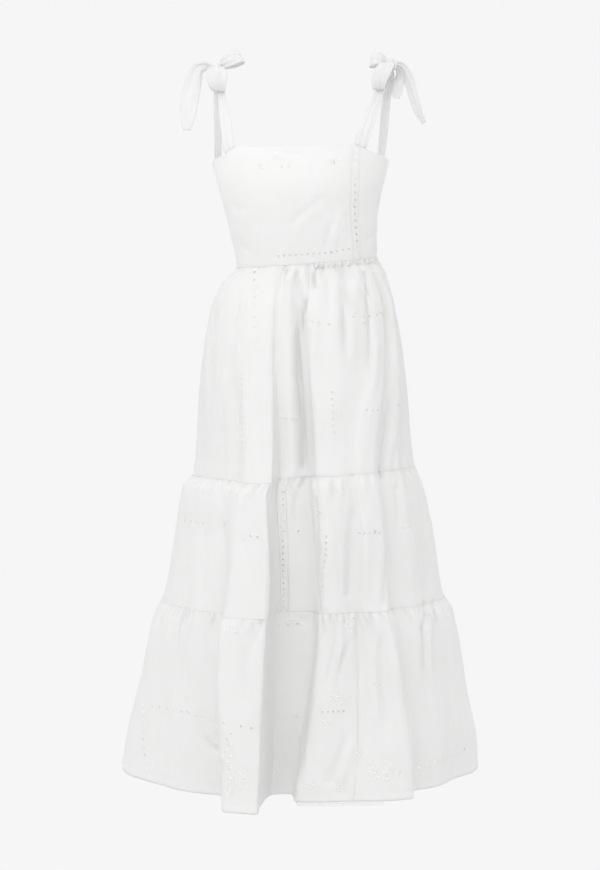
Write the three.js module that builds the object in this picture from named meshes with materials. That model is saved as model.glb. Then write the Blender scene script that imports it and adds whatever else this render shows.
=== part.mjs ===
// A tiered maxi dress in white cotton broderie, filled out as when worn, with tie straps.
// Millimetres. +Z is up and the front faces -Y. Left is -X and right is +X, as seen from the front.
// The origin lies midway between the shoulders, level with the tops of the straps.
import * as THREE from "three";
import { mergeVertices } from "three/addons/utils/BufferGeometryUtils.js";

// Driving sizes
const WALL = 1.6; // the embroidered cotton with its eyelets, as one wall
const TAPE_WALL = 2.0; // a strap is the same cotton folded double
const SEAM_GAP = 0.3; // between two pieces that are sewn together
const HEIGHT = { edge: -153, waist: -342, seam1: -737, seam2: -978, hem: -1298 };
const HIP = -430; // where the gathers of the first tier have opened
const EDGING_DEPTH = 10; // scalloped eyelet edging at the waist
const HEM_EDGING_DEPTH = 5;
const COLUMN_STEP = 36; // longest step along the hem between two columns of points

// Turns rows of bare values into objects with named columns.
const table = (columns, rows) =>
  rows.map((row) => Object.fromEntries(columns.map((column, i) => [column, row[i]])));

// Reach of the dress from its middle line to each side, to the front and to the back.
const SECTIONS = table(
  ["z", "left", "right", "front", "back"],
  [
    [HEIGHT.edge, 168, 169, 106, 98],
    [-215, 150, 155, 114, 98],
    [-275, 134, 146, 103, 91],
    [HEIGHT.waist, 121, 146, 94, 90],
    [-372, 149, 160, 112, 108],
    [HIP, 171, 178, 135, 130],
    [-560, 191, 200, 160, 155],
    [HEIGHT.seam1, 205, 217, 180, 178],
    [-757, 221, 226, 188, 187],
    [-860, 239, 252, 198, 204],
    [HEIGHT.seam2, 259, 271, 205, 217],
    [-1000, 271, 284, 209, 222],
    [-1130, 303, 313, 214, 233],
    [-1240, 327, 333, 217, 240],
    [HEIGHT.hem, 338, 336, 218, 243],
  ],
);

// How level each seam runs: how much it rises to the right and to the front, how far the lobes' sag shows
// in it, and how far the neckline's shape does.
const LEVELS = table(
  ["z", "tilt", "rise", "sag", "neck"],
  [
    [HEIGHT.edge, 1.5, 0, 0, 1],
    [HEIGHT.waist, 9, -12, 0, 0],
    [HEIGHT.seam1, 9, 0, 1, 0],
    [HEIGHT.seam2, 5, 0, 0.5, 0],
    [HEIGHT.hem, 4, 0, 0.9, 0],
  ],
);

// The square neckline: how far the top edge stands above the sides, by the angle round the dress. It is
// highest at the front straps and falls from them to the armholes.
const NECKLINE = table(
  ["angle", "above"],
  [
    [-90, 0],
    [-70, 3],
    [-55, 9.5],
    [-44, 19],
    [-32, 17.5],
    [0, 12.5],
    [28, 16.5],
    [38, 18.5],
    [49, 12],
    [66, 4],
    [90, 0],
    [270, 0],
  ],
);

// One row for each line that runs down the dress: the crest, edge or foot of a fold, or a seam.
// Angles go round the dress in degrees, from the left side (-90) by the front (0), the right side (90)
// and the back (180). Reaches are how far the cloth stands out of its section there, and sag is how much
// lower the seams hang on that line.
const LINE_HEIGHTS = [HEIGHT.edge, HEIGHT.waist, HEIGHT.seam1, HEIGHT.seam2, HEIGHT.hem];
const REACH_HEIGHTS = [HEIGHT.waist, HIP, HEIGHT.seam1, HEIGHT.seam2, HEIGHT.hem];
const LINES = table(
  ["name", "edge", "waist", "seam1", "seam2", "hem", "outHip", "outSeam1", "outSeam2", "outHem", "sag"],
  [
    ["side_left", -90, -90, -90, -90, -90, 0, 0, 0, 0, 0],
    ["left_hollow", -72, -70, -62, -57, -49, -1, -6, 0, -4, 2],
    ["left_crest", -58, -56, -44.5, -43, -34, 2, -2, 11, 7, 5],
    ["lobe1_left_foot", -46, -44, -34, -32, -22.3, 2, 3, 14, 1, 8],
    ["lobe1_left_edge", -34, -32, -24, -25, -19.2, 4, 33, 60, 98, 12],
    ["lobe1_right_edge", -20, -18, -13, -11.2, -9.8, 5, 34, 60, 99, 13],
    ["trough1_left", -15, -13, -11, -10, -8.6, 0, 8, -4, -8, 9],
    ["ladder_left", -10, -10, -8.9, -7, -7.1, -2, -1, -15, -19, 7],
    ["ladder_right", -5, -6, -4.7, -3.8, -4.2, -3, 0, -17, -21, 6],
    ["trough1_right", 2, -1, 5, 5.7, -0.9, -12, -13, -14, -15, 5],
    ["lobe2_left_edge", 10, 8, 9.1, 8.6, 1.3, 4, 14, 20, 37, 5],
    ["lobe2_left_crest", 22, 22, 17, 14.4, 9.8, 6, 27, 31, 48, 5],
    ["lobe2_seam", 37.1, 42.5, 25.4, 22.1, 18.3, 1, 29, 22, 49, 4],
    ["lobe2_right_crest", 43, 51.3, 30.9, 27.6, 27.2, 5, 37, 40, 60, 4],
    ["lobe2_right_edge", 53, 60, 36.5, 33.9, 34.8, 4, 36, 44, 65, 3],
    ["trough2", 61, 67, 42.6, 38.7, 38.4, -7, 18, 17, 18, 2],
    ["right_crest", 70, 75, 51.7, 47.5, 47.3, 4, 16, 22, 14, 1],
    ["right_hollow", 80, 82, 64, 60.7, 61.6, -3, 3, 7, -5, 0],
    ["side_right", 90, 90, 90, 90, 90, 0, 0, 0, 0, 0],
    ["back_a_foot", 103, 104, 105, 102, 101, 0, -2, -4, -6, 0],
    ["back_a_left", 113, 114, 116, 114, 113, 3, 8, 12, 20, 4],
    ["back_a_right", 126, 127, 128, 126, 127, 4, 13, 26, 50, 6],
    ["back_b_trough", 136, 137, 135, 134, 134, -8, -8, -6, -12, 3],
    ["back_c_left", 147, 148, 144, 143, 141, 5, 18, 38, 66, 6],
    ["back_c_right", 160, 161, 160, 162, 163, 6, 21, 44, 88, 8],
    ["back_d_trough", 172, 172, 171, 169, 167, -9, -10, -14, -16, 5],
    ["back_d_far", 182, 182, 181, 180, 179, -5, -8, -15, -10, 5],
    ["back_e_left", 191, 190, 188, 187, 185, 4, 15, 36, 80, 6],
    ["back_e_right", 203, 202, 200, 201, 202, 5, 18, 40, 70, 5],
    ["back_f_trough", 212, 212, 210, 209, 208, -8, -7, -10, -12, 3],
    ["back_g_left", 223, 222, 220, 219, 217, 4, 17, 30, 58, 5],
    ["back_g_right", 236, 235, 236, 236, 235, 3, 12, 24, 46, 6],
    ["back_h_trough", 247, 246, 245, 244, 245, -5, -5, -8, -10, 2],
    ["back_i_crest", 258, 258, 257, 257, 256, 2, 6, 12, 15, 1],
    ["side_left_again", 270, 270, 270, 270, 270, 0, 0, 0, 0, 0],
  ],
);

// Smooth curve through (xs, ys) that never swings past its points.
function through(xs, ys) {
  const n = xs.length;
  const step = (i) => xs[i + 1] - xs[i];
  const rise = (i) => (ys[i + 1] - ys[i]) / step(i);
  const slopes = xs.map((_, i) => {
    if (i === 0) return rise(0);
    if (i === n - 1) return rise(n - 2);
    const [before, after] = [rise(i - 1), rise(i)];
    if (before * after <= 0) return 0;
    const wa = 2 * step(i) + step(i - 1);
    const wb = step(i) + 2 * step(i - 1);
    return (wa + wb) / (wa / before + wb / after);
  });
  return (x) => {
    let i = 0;
    while (i < n - 2 && x > xs[i + 1]) i += 1;
    const h = step(i);
    const t = Math.min(1, Math.max(0, (x - xs[i]) / h));
    const [t2, t3] = [t * t, t * t * t];
    return (
      ys[i] * (2 * t3 - 3 * t2 + 1) +
      slopes[i] * h * (t3 - 2 * t2 + t) +
      ys[i + 1] * (3 * t2 - 2 * t3) +
      slopes[i + 1] * h * (t3 - t2)
    );
  };
}

// Heights fall down the dress, so curves over height run on depth below the origin.
const down = (rows, column) => through(rows.map((row) => -row.z), rows.map((row) => row[column]));
const LEFT = down(SECTIONS, "left");
const RIGHT = down(SECTIONS, "right");
const FRONT = down(SECTIONS, "front");
const BACK = down(SECTIONS, "back");
const TILT = down(LEVELS, "tilt");
const RISE = down(LEVELS, "rise");
const SAG = down(LEVELS, "sag");
const NECK = down(LEVELS, "neck");
const ABOVE_SIDES = through(NECKLINE.map((row) => row.angle), NECKLINE.map((row) => row.above));

const radians = THREE.MathUtils.degToRad;
const depths = (heights) => heights.map((z) => -z);
const CURVES = LINES.map((line) => ({
  name: line.name,
  sag: line.sag,
  angle: through(depths(LINE_HEIGHTS), [line.edge, line.waist, line.seam1, line.seam2, line.hem]),
  out: through(depths(REACH_HEIGHTS), [0, line.outHip, line.outSeam1, line.outSeam2, line.outHem]),
}));

// The point on the dress at an angle, with the cloth standing `out` off the section at that height.
function onSection(angle, out, z) {
  const [left, right] = [LEFT(-z), RIGHT(-z)];
  const [s, c] = [Math.sin(radians(angle)), Math.cos(radians(angle))];
  const depth = c > 0 ? FRONT(-z) : BACK(-z);
  const away = new THREE.Vector2(s ** 3, -c).normalize().multiplyScalar(out);
  return new THREE.Vector2((right - left) / 2 + ((right + left) / 2) * s + away.x, -depth * c + away.y);
}

// How far a seam at a height runs above its own level at an angle.
function offLevel(angle, z) {
  const seam = TILT(-z) * Math.sin(radians(angle)) + RISE(-z) * Math.max(0, Math.cos(radians(angle)));
  return seam + NECK(-z) * ABOVE_SIDES(angle);
}

// Where each line starts along the cloth, measured round the hem.
const STARTS = [0];
for (let i = 1; i < CURVES.length; i += 1) {
  const [before, here] = [CURVES[i - 1], CURVES[i]].map((line) =>
    onSection(line.angle(-HEIGHT.hem), line.out(-HEIGHT.hem), HEIGHT.hem),
  );
  STARTS.push(STARTS[i - 1] + before.distanceTo(here));
}
const along = (name) => STARTS[LINES.findIndex((line) => line.name === name)];

// All that varies round the dress at one height, as smooth curves along the cloth.
const RINGS = new Map();
function ring(z) {
  if (!RINGS.has(z)) {
    const reach = z < HEIGHT.waist;
    RINGS.set(z, {
      angle: through(STARTS, CURVES.map((line) => line.angle(-z))),
      out: through(STARTS, CURVES.map((line) => (reach ? line.out(-z) : 0))),
      sag: through(STARTS, CURVES.map((line) => line.sag)),
    });
  }
  return RINGS.get(z);
}

// The cloth's outer face at a place along the cloth and a height.
function cloth(place, z) {
  const { angle, out, sag } = ring(z);
  const at = angle(place);
  const flat = onSection(at, out(place), z);
  return new THREE.Vector3(flat.x, flat.y, z + offLevel(at, z) - SAG(-z) * sag(place));
}

// The level direction straight out of the cloth.
function outward(place, z) {
  const reach = 2;
  const run = cloth(place + reach, z).sub(cloth(place - reach, z));
  return new THREE.Vector3(run.y, -run.x, 0).normalize();
}

// A place half a seam's gap to one side of another, because the cloth is drawn in above the hem.
function seamSide(place, z, side) {
  const reach = 2;
  const drawn = cloth(place + side * reach, z).distanceTo(cloth(place, z)) / reach;
  return place + (side * SEAM_GAP) / 2 / drawn;
}

// Columns of points: every line, and even steps between them.
const COLUMNS = STARTS.slice(0, -1).flatMap((start, i) => {
  const width = STARTS[i + 1] - start;
  const steps = Math.max(1, Math.round(width / COLUMN_STEP));
  return Array.from({ length: steps }, (_, k) => start + (width * k) / steps);
});

// A closed solid from two equal grids of points, outer[row][column] and inner[row][column].
function slab(outer, inner) {
  const [rows, columns] = [outer.length, outer[0].length];
  const points = [...outer.flat(), ...inner.flat()];
  const at = (side, r, c) => side * rows * columns + r * columns + c;
  const faces = [];
  const quad = (a, b, c, d) => faces.push(a, b, c, a, c, d);
  for (let r = 0; r < rows - 1; r += 1)
    for (let c = 0; c < columns - 1; c += 1) {
      quad(at(0, r, c), at(0, r + 1, c), at(0, r + 1, c + 1), at(0, r, c + 1));
      quad(at(1, r, c), at(1, r, c + 1), at(1, r + 1, c + 1), at(1, r + 1, c));
    }
  for (let c = 0; c < columns - 1; c += 1) {
    quad(at(0, 0, c), at(0, 0, c + 1), at(1, 0, c + 1), at(1, 0, c));
    quad(at(0, rows - 1, c + 1), at(0, rows - 1, c), at(1, rows - 1, c), at(1, rows - 1, c + 1));
  }
  for (let r = 0; r < rows - 1; r += 1) {
    quad(at(0, r + 1, 0), at(0, r, 0), at(1, r, 0), at(1, r + 1, 0));
    quad(at(0, r, columns - 1), at(0, r + 1, columns - 1), at(1, r + 1, columns - 1), at(1, r, columns - 1));
  }
  const geometry = new THREE.BufferGeometry();
  geometry.setAttribute("position", new THREE.Float32BufferAttribute(points.flatMap((p) => p.toArray()), 3));
  geometry.setIndex(faces);
  geometry.computeVertexNormals();
  return geometry;
}

// A panel between two lines down the cloth, through a list of heights from top to bottom.
// `lift` moves it out of the cloth's face, for a trim that lies on a panel.
function panel({ from, to, heights, lift = 0, wall = WALL }) {
  const inside = COLUMNS.filter((place) => place > from + 1 && place < to - 1);
  const grid = (reach) =>
    heights.map((z) =>
      [seamSide(from, z, 1), ...inside, seamSide(to, z, -1)].map((place) =>
        cloth(place, z).addScaledVector(outward(place, z), reach),
      ),
    );
  return slab(grid(lift), grid(lift - wall));
}

// Heights of a panel's rows, from shares of its drop, a seam's gap clear of its neighbours.
const rows = (top, bottom, shares) =>
  shares.map((share) => THREE.MathUtils.lerp(top - SEAM_GAP / 2, bottom + SEAM_GAP / 2, share));

// A folded tape along a smooth path. Each stop gives its middle, its width and the direction across it.
function tape(stops, steps) {
  const shares = stops.map((_, i) => i / (stops.length - 1));
  const path = new THREE.CatmullRomCurve3(stops.map((stop) => stop.at));
  const spread = new THREE.CatmullRomCurve3(stops.map((stop) => stop.across.clone().normalize()));
  const width = through(shares, stops.map((stop) => stop.width));
  const sections = Array.from({ length: steps + 1 }, (_, i) => {
    const t = i / steps;
    const tangent = path.getTangent(t);
    const across = spread.getPoint(t);
    across.addScaledVector(tangent, -across.dot(tangent)).normalize();
    const normal = new THREE.Vector3().crossVectors(tangent, across).normalize();
    return { middle: path.getPoint(t), across, normal, width: width(t) };
  });
  const face = (reach) =>
    sections.map(({ middle, across, normal, width: wide }) =>
      [-0.5, 0.5].map((share) =>
        middle.clone().addScaledVector(across, share * wide).addScaledVector(normal, reach),
      ),
    );
  return slab(face(TAPE_WALL / 2), face(-TAPE_WALL / 2));
}

// A tied knot: a rounded lump, flatter than an egg on its faces.
function lump({ radii, at }) {
  const [around, up, blunt] = [12, 8, 0.72];
  const geometry = new THREE.SphereGeometry(1, around, up);
  geometry.deleteAttribute("normal");
  geometry.deleteAttribute("uv");
  geometry.rotateX(Math.PI / 2);
  const position = geometry.getAttribute("position");
  const soft = (value) => Math.sign(value) * Math.abs(value) ** blunt;
  for (let i = 0; i < position.count; i += 1)
    position.setXYZ(
      i,
      radii[0] * soft(position.getX(i)),
      radii[1] * soft(position.getY(i)),
      radii[2] * soft(position.getZ(i)),
    );
  geometry.translate(...at);
  const merged = mergeVertices(geometry, 1e-3);
  merged.computeVertexNormals();
  return merged;
}

const COTTON = { color: 0xf3f2ee, roughness: 0.92, metalness: 0 };
const EMBROIDERY = { color: 0xf8f7f4, roughness: 0.8, metalness: 0 };

const dress = new THREE.Group();
const add = (name, geometry, finish = COTTON) => {
  const mesh = new THREE.Mesh(geometry, new THREE.MeshStandardMaterial(finish));
  mesh.name = name;
  dress.add(mesh);
};

// Bodice
const BODICE_SHARES = [0, 0.2, 0.4, 0.62, 0.82, 1];
const bodiceRows = rows(HEIGHT.edge, HEIGHT.waist, BODICE_SHARES);
for (const [name, from, to, finish] of [
  ["bodice_front", "side_left", "lobe2_seam", COTTON],
  ["bodice_insertion", "lobe2_seam", "lobe2_right_crest", EMBROIDERY],
  ["bodice_front_side", "lobe2_right_crest", "side_right", COTTON],
  ["bodice_back", "side_right", "side_left_again", COTTON],
])
  add(name, panel({ from: along(from), to: along(to), heights: bodiceRows }), finish);

// Three gathered tiers
const edgingFoot = EDGING_DEPTH / (HEIGHT.waist - HEIGHT.seam1);
const TIERS = [
  {
    top: HEIGHT.waist,
    bottom: HEIGHT.seam1,
    shares: [0, edgingFoot, 0.09, 0.24, 0.52, 0.78, 1],
    panels: [
      ["tier1_front", "side_left", "side_right", COTTON],
      ["tier1_back", "side_right", "side_left_again", COTTON],
    ],
  },
  {
    top: HEIGHT.seam1,
    bottom: HEIGHT.seam2,
    shares: [0, 0.08, 0.36, 0.68, 1],
    panels: [
      ["tier2_front_left", "side_left", "ladder_left", COTTON],
      ["tier2_insertion", "ladder_left", "ladder_right", EMBROIDERY],
      ["tier2_front_right", "ladder_right", "side_right", COTTON],
      ["tier2_back", "side_right", "side_left_again", COTTON],
    ],
  },
  {
    top: HEIGHT.seam2,
    bottom: HEIGHT.hem,
    shares: [0, 0.07, 0.3, 0.55, 0.8, 1],
    panels: [
      ["tier3_front_left", "side_left", "lobe2_seam", COTTON],
      ["tier3_front_right", "lobe2_seam", "side_right", COTTON],
      ["tier3_back", "side_right", "side_left_again", COTTON],
    ],
  },
];
for (const tier of TIERS)
  for (const [name, from, to, finish] of tier.panels)
    add(name, panel({ from: along(from), to: along(to), heights: rows(tier.top, tier.bottom, tier.shares) }), finish);

// Edgings: one lies on the top of the first tier, one hangs under part of the hem.
const firstTier = rows(TIERS[0].top, TIERS[0].bottom, TIERS[0].shares);
add(
  "waist_edging",
  panel({
    from: along("lobe2_left_edge"),
    to: along("right_crest"),
    heights: [firstTier[0], firstTier[1]],
    lift: SEAM_GAP + 1,
    wall: 1,
  }),
  EMBROIDERY,
);

add(
  "hem_edging",
  panel({
    from: along("lobe2_left_edge"),
    to: along("lobe2_right_crest"),
    heights: rows(HEIGHT.hem, HEIGHT.hem - HEM_EDGING_DEPTH, [0, 1]),
  }),
  EMBROIDERY,
);

// Straps: each rises from the top edge to the underside of its knot.
// `foot` is the angle round the top edge, `by` a point that it passes, `head` its upper end.
const STRAPS = [
  { name: "strap_front_left", foot: -49.5, width: 28, by: [-147, -22, -30], head: [-155, -7, 10.5] },
  { name: "strap_front_right", foot: 43.2, width: 28, by: [149, -22, -30], head: [170, -7, 16.5] },
  { name: "strap_back_left", foot: 253, width: 22, by: [-158, 14, -40], head: [-157.5, -1, 10.5] },
  { name: "strap_back_right", foot: 114.4, width: 22, by: [163, 14, -40], head: [172.5, -1, 16.5] },
];
const STRAP_HEAD_WIDTH = 13;
const STRAP_STEPS = 8;
const UPRIGHT = 6; // a strap leaves the top edge and meets the knot square on, over this much
const STRAP_TAPER = 0.78; // of its foot's width, half way to the point that it passes
for (const { name, foot, width, by, head } of STRAPS) {
  const rim = (angle) => {
    const flat = onSection(angle, -WALL / 2, HEIGHT.edge);
    return new THREE.Vector3(flat.x, flat.y, HEIGHT.edge + offLevel(angle, HEIGHT.edge));
  };
  const halfFoot = 5; // degrees
  const run = rim(foot + halfFoot).sub(rim(foot - halfFoot)).normalize();
  const square = new THREE.Vector3(0, 0, 1).addScaledVector(run, -run.z).normalize();
  const start = rim(foot).addScaledVector(square, SEAM_GAP);
  const level = new THREE.Vector3(run.x, run.y, 0);
  const end = new THREE.Vector3(...head);
  const across = new THREE.Vector3(Math.sign(run.x), 0, 0);
  const up = new THREE.Vector3(0, 0, UPRIGHT);
  const waypoint = new THREE.Vector3(...by);
  add(
    name,
    tape(
      [
        { at: start, width, across: run },
        { at: start.clone().addScaledVector(square, UPRIGHT), width: width - 1, across: run },
        { at: start.clone().lerp(waypoint, 0.5), width: width * STRAP_TAPER, across: level.clone().lerp(across, 0.4) },
        { at: waypoint, width: STRAP_HEAD_WIDTH + 3, across: level.clone().lerp(across, 0.8) },
        { at: end.clone().sub(up), width: STRAP_HEAD_WIDTH, across },
        { at: end, width: STRAP_HEAD_WIDTH, across },
      ],
      STRAP_STEPS,
    ),
  );
}

// Bows: the straps' own ends, tied over each shoulder. Each row of a ribbon is a stop on its way:
// its middle, its width there and the direction across it.
const KNOTS = [
  { name: "bow_left_knot", at: [-157, -4, 24], radii: [11, 10, 13] },
  { name: "bow_right_knot", at: [172, -4, 30], radii: [10, 10, 13] },
];
for (const knot of KNOTS) add(knot.name, lump(knot));

const RIBBON_COLUMNS = ["x", "y", "z", "width", "acrossX", "acrossY", "acrossZ"];
const RIBBONS = {
  bow_left_loop_top: [
    [-148.7, -9.5, 34, 18, -0.42, -0.42, 0.82],
    [-137, -16, 38, 23, -0.42, -0.42, 0.82],
    [-124, -19, 43.5, 26, -0.42, -0.42, 0.82],
    [-113, -14, 48, 27, -0.42, -0.42, 0.82],
    [-111.5, -6, 48, 26, -0.42, -0.42, 0.82],
    [-118, 2, 44.5, 25, -0.42, -0.42, 0.82],
    [-132, 5, 38, 20, -0.42, -0.42, 0.82],
    [-147.2, 1, 33, 14, -0.42, -0.42, 0.82],
  ],
  bow_left_loop_low: [
    [-158, -14.7, 26, 16, 1, 0, 0],
    [-157, -27, 24, 28, 1, 0, 0],
    [-155, -37, 6, 40, 1, 0, 0],
    [-153, -36, -12, 32, 1, 0, 0],
    [-152, -29, -21, 24, 1, 0, 0],
    [-153, -23, -8, 22, 1, 0, 0],
    [-156, -20, 10, 18, 1, 0, 0],
    [-158, -14.7, 18, 14, 1, 0, 0],
  ],
  bow_left_tail: [
    [-169, -5, 27, 12, 0, -0.5, 0.85],
    [-180, -9, 30, 18, -0.3, -0.5, 0.8],
    [-193, -13, 24, 25, -0.75, -0.3, 0.55],
    [-201, -15, 6, 30, -1, -0.1, 0.2],
    [-206, -16, -18, 34, -1, 0, 0],
    [-210, -16, -44, 33, -1, 0, 0],
    [-213, -15, -70, 28, -1, 0.1, 0],
    [-215, -14, -92, 14, -1, 0.2, 0],
  ],
  bow_right_loop_top: [
    [161.8, -9.5, 38, 18, 0.1, -0.42, 0.9],
    [153, -15.5, 40, 22, 0.1, -0.42, 0.9],
    [142, -17, 39, 24, 0.1, -0.42, 0.9],
    [134.5, -11, 37, 23, 0.1, -0.42, 0.9],
    [135, -3, 36, 22, 0.1, -0.42, 0.9],
    [144, 4, 36.5, 22, 0.1, -0.42, 0.9],
    [155, 5, 36.5, 19, 0.1, -0.42, 0.9],
    [162.1, 1.4, 36, 15, 0.1, -0.42, 0.9],
  ],
  bow_right_loop_low: [
    [171, -14.7, 31, 13, 1, 0, 0],
    [169, -27, 28, 22, 1, 0, 0],
    [156, -36, 10, 32, 1, 0, 0],
    [150, -34, -10, 28, 1, 0, 0],
    [151, -28, -20, 22, 1, 0, 0],
    [154, -24, -5, 20, 1, 0, 0],
    [168, -20, 12, 14, 1, 0, 0],
    [171, -15.4, 21, 12, 1, 0, 0],
  ],
  bow_right_tail_long: [
    [183.6, -6, 32, 12, 0, -0.7, 0.7],
    [194, -9, 25, 20, 0.3, -0.8, 0.4],
    [203, -11, 8, 26, 0.4, -0.9, 0.2],
    [210, -12, -12, 28, 0.4, -0.9, 0.1],
    [216, -12, -36, 28, 0.35, -0.9, 0.1],
    [224, -12, -60, 24, 0.35, -0.9, 0.1],
    [235, -11, -82, 12, 0.35, -0.9, 0.1],
  ],
  bow_right_tail_short: [
    [182.8, -4, 24, 10, 0, -0.8, 0.6],
    [188, -5, 14, 16, 0.6, -0.7, 0.3],
    [187, -6, -2, 21, 1, -0.3, 0],
    [184, -6, -20, 20, 1, -0.2, 0],
    [183, -5, -34, 13, 1, -0.2, 0],
  ],
};
const RIBBON_STEPS = 14;
for (const [name, values] of Object.entries(RIBBONS)) {
  const stops = table(RIBBON_COLUMNS, values).map((row) => ({
    at: new THREE.Vector3(row.x, row.y, row.z),
    across: new THREE.Vector3(row.acrossX, row.acrossY, row.acrossZ),
    width: row.width,
  }));
  add(name, tape(stops, RIBBON_STEPS));
}

export default dress;
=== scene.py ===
"""The looks of a tiered maxi dress in white cotton broderie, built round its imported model.

Tables are in millimetres, as the model is, and meshes in metres. +Z is up, the front faces -Y and left
is -X. A place is a length round the hem, from the left side by way of the front. With a height it names one
point of the cloth, whatever the folds do there.
"""

import logging
import math
from collections.abc import Iterable, Sequence
from dataclasses import dataclass, field
from enum import Enum

import bpy
import numpy as np
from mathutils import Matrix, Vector


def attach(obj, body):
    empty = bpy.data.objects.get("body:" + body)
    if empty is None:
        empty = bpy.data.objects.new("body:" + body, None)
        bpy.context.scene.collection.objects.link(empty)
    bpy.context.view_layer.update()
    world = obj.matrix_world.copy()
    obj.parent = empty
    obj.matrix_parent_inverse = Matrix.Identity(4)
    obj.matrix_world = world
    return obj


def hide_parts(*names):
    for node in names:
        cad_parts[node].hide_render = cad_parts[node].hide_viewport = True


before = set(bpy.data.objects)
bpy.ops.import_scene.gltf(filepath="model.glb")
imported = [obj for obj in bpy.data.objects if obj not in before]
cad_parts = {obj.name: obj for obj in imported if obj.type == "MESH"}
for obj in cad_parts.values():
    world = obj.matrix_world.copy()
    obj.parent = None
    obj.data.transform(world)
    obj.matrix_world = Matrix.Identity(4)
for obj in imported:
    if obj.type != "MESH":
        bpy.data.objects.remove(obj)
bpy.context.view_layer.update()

LOG = logging.getLogger("dress")
MM = 0.001
Array = np.ndarray
Spot = tuple[float, float]
Triple = tuple[float, float, float]
Face = tuple[int, ...]

# Driving sizes, as in the model
EDGE, WAIST, SEAM1, SEAM2, HEM = -153.0, -342.0, -737.0, -978.0, -1298.0
HIP = -430.0
SEAM_GAP = 0.3
EDGING_DEPTH = 10.0
CLOTH_WALL = 0.8  # broderie lawn with its embroidery
TAPE_WALL = 1.6  # a strap is the same cloth folded double
CLOTH_MAP = "cloth"  # each piece's own map, in metres of cloth


@dataclass(frozen=True)
class Section:
    """Reach of the dress from its middle line to each side, to the front and to the back at a height."""

    z: float
    left: float
    right: float
    front: float
    back: float


@dataclass(frozen=True)
class Level:
    """How much a seam rises to the right and to the front, and how far sag and neckline show in it."""

    z: float
    tilt: float
    rise: float
    sag: float
    neck: float


@dataclass(frozen=True)
class Line:
    """A crest, edge or foot of a fold, or a seam, that runs down the dress.

    The angles go round the dress in degrees at the five levels, from the left side (-90) by the front. The
    reaches are how far the cloth stands out of its section at the hips, both seams and the hem.
    """

    name: str
    edge: float
    waist: float
    seam1: float
    seam2: float
    hem: float
    hip_out: float = 0
    seam1_out: float = 0
    seam2_out: float = 0
    hem_out: float = 0
    sag: float = 0

    @property
    def angles(self) -> tuple[float, ...]:
        """Its angles from the top edge to the hem."""
        return self.edge, self.waist, self.seam1, self.seam2, self.hem

    @property
    def reaches(self) -> tuple[float, ...]:
        """Its reaches from the waist to the hem."""
        return 0.0, self.hip_out, self.seam1_out, self.seam2_out, self.hem_out


SECTIONS = (
    Section(EDGE, 168, 169, 106, 98),
    Section(-215, 150, 155, 114, 98),
    Section(-275, 134, 146, 103, 91),
    Section(WAIST, 121, 146, 94, 90),
    Section(-372, 149, 160, 112, 108),
    Section(HIP, 171, 178, 135, 130),
    Section(-560, 191, 200, 160, 155),
    Section(SEAM1, 205, 217, 180, 178),
    Section(-757, 221, 226, 188, 187),
    Section(-860, 239, 252, 198, 204),
    Section(SEAM2, 259, 271, 205, 217),
    Section(-1000, 271, 284, 209, 222),
    Section(-1130, 303, 313, 214, 233),
    Section(-1240, 327, 333, 217, 240),
    Section(HEM, 338, 336, 218, 243),
)
LEVELS = (
    Level(EDGE, 1.5, 0, 0, 1),
    Level(WAIST, 9, -12, 0, 0),
    Level(SEAM1, 9, 0, 1, 0),
    Level(SEAM2, 5, 0, 0.5, 0),
    Level(HEM, 4, 0, 0.9, 0),
)
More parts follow.
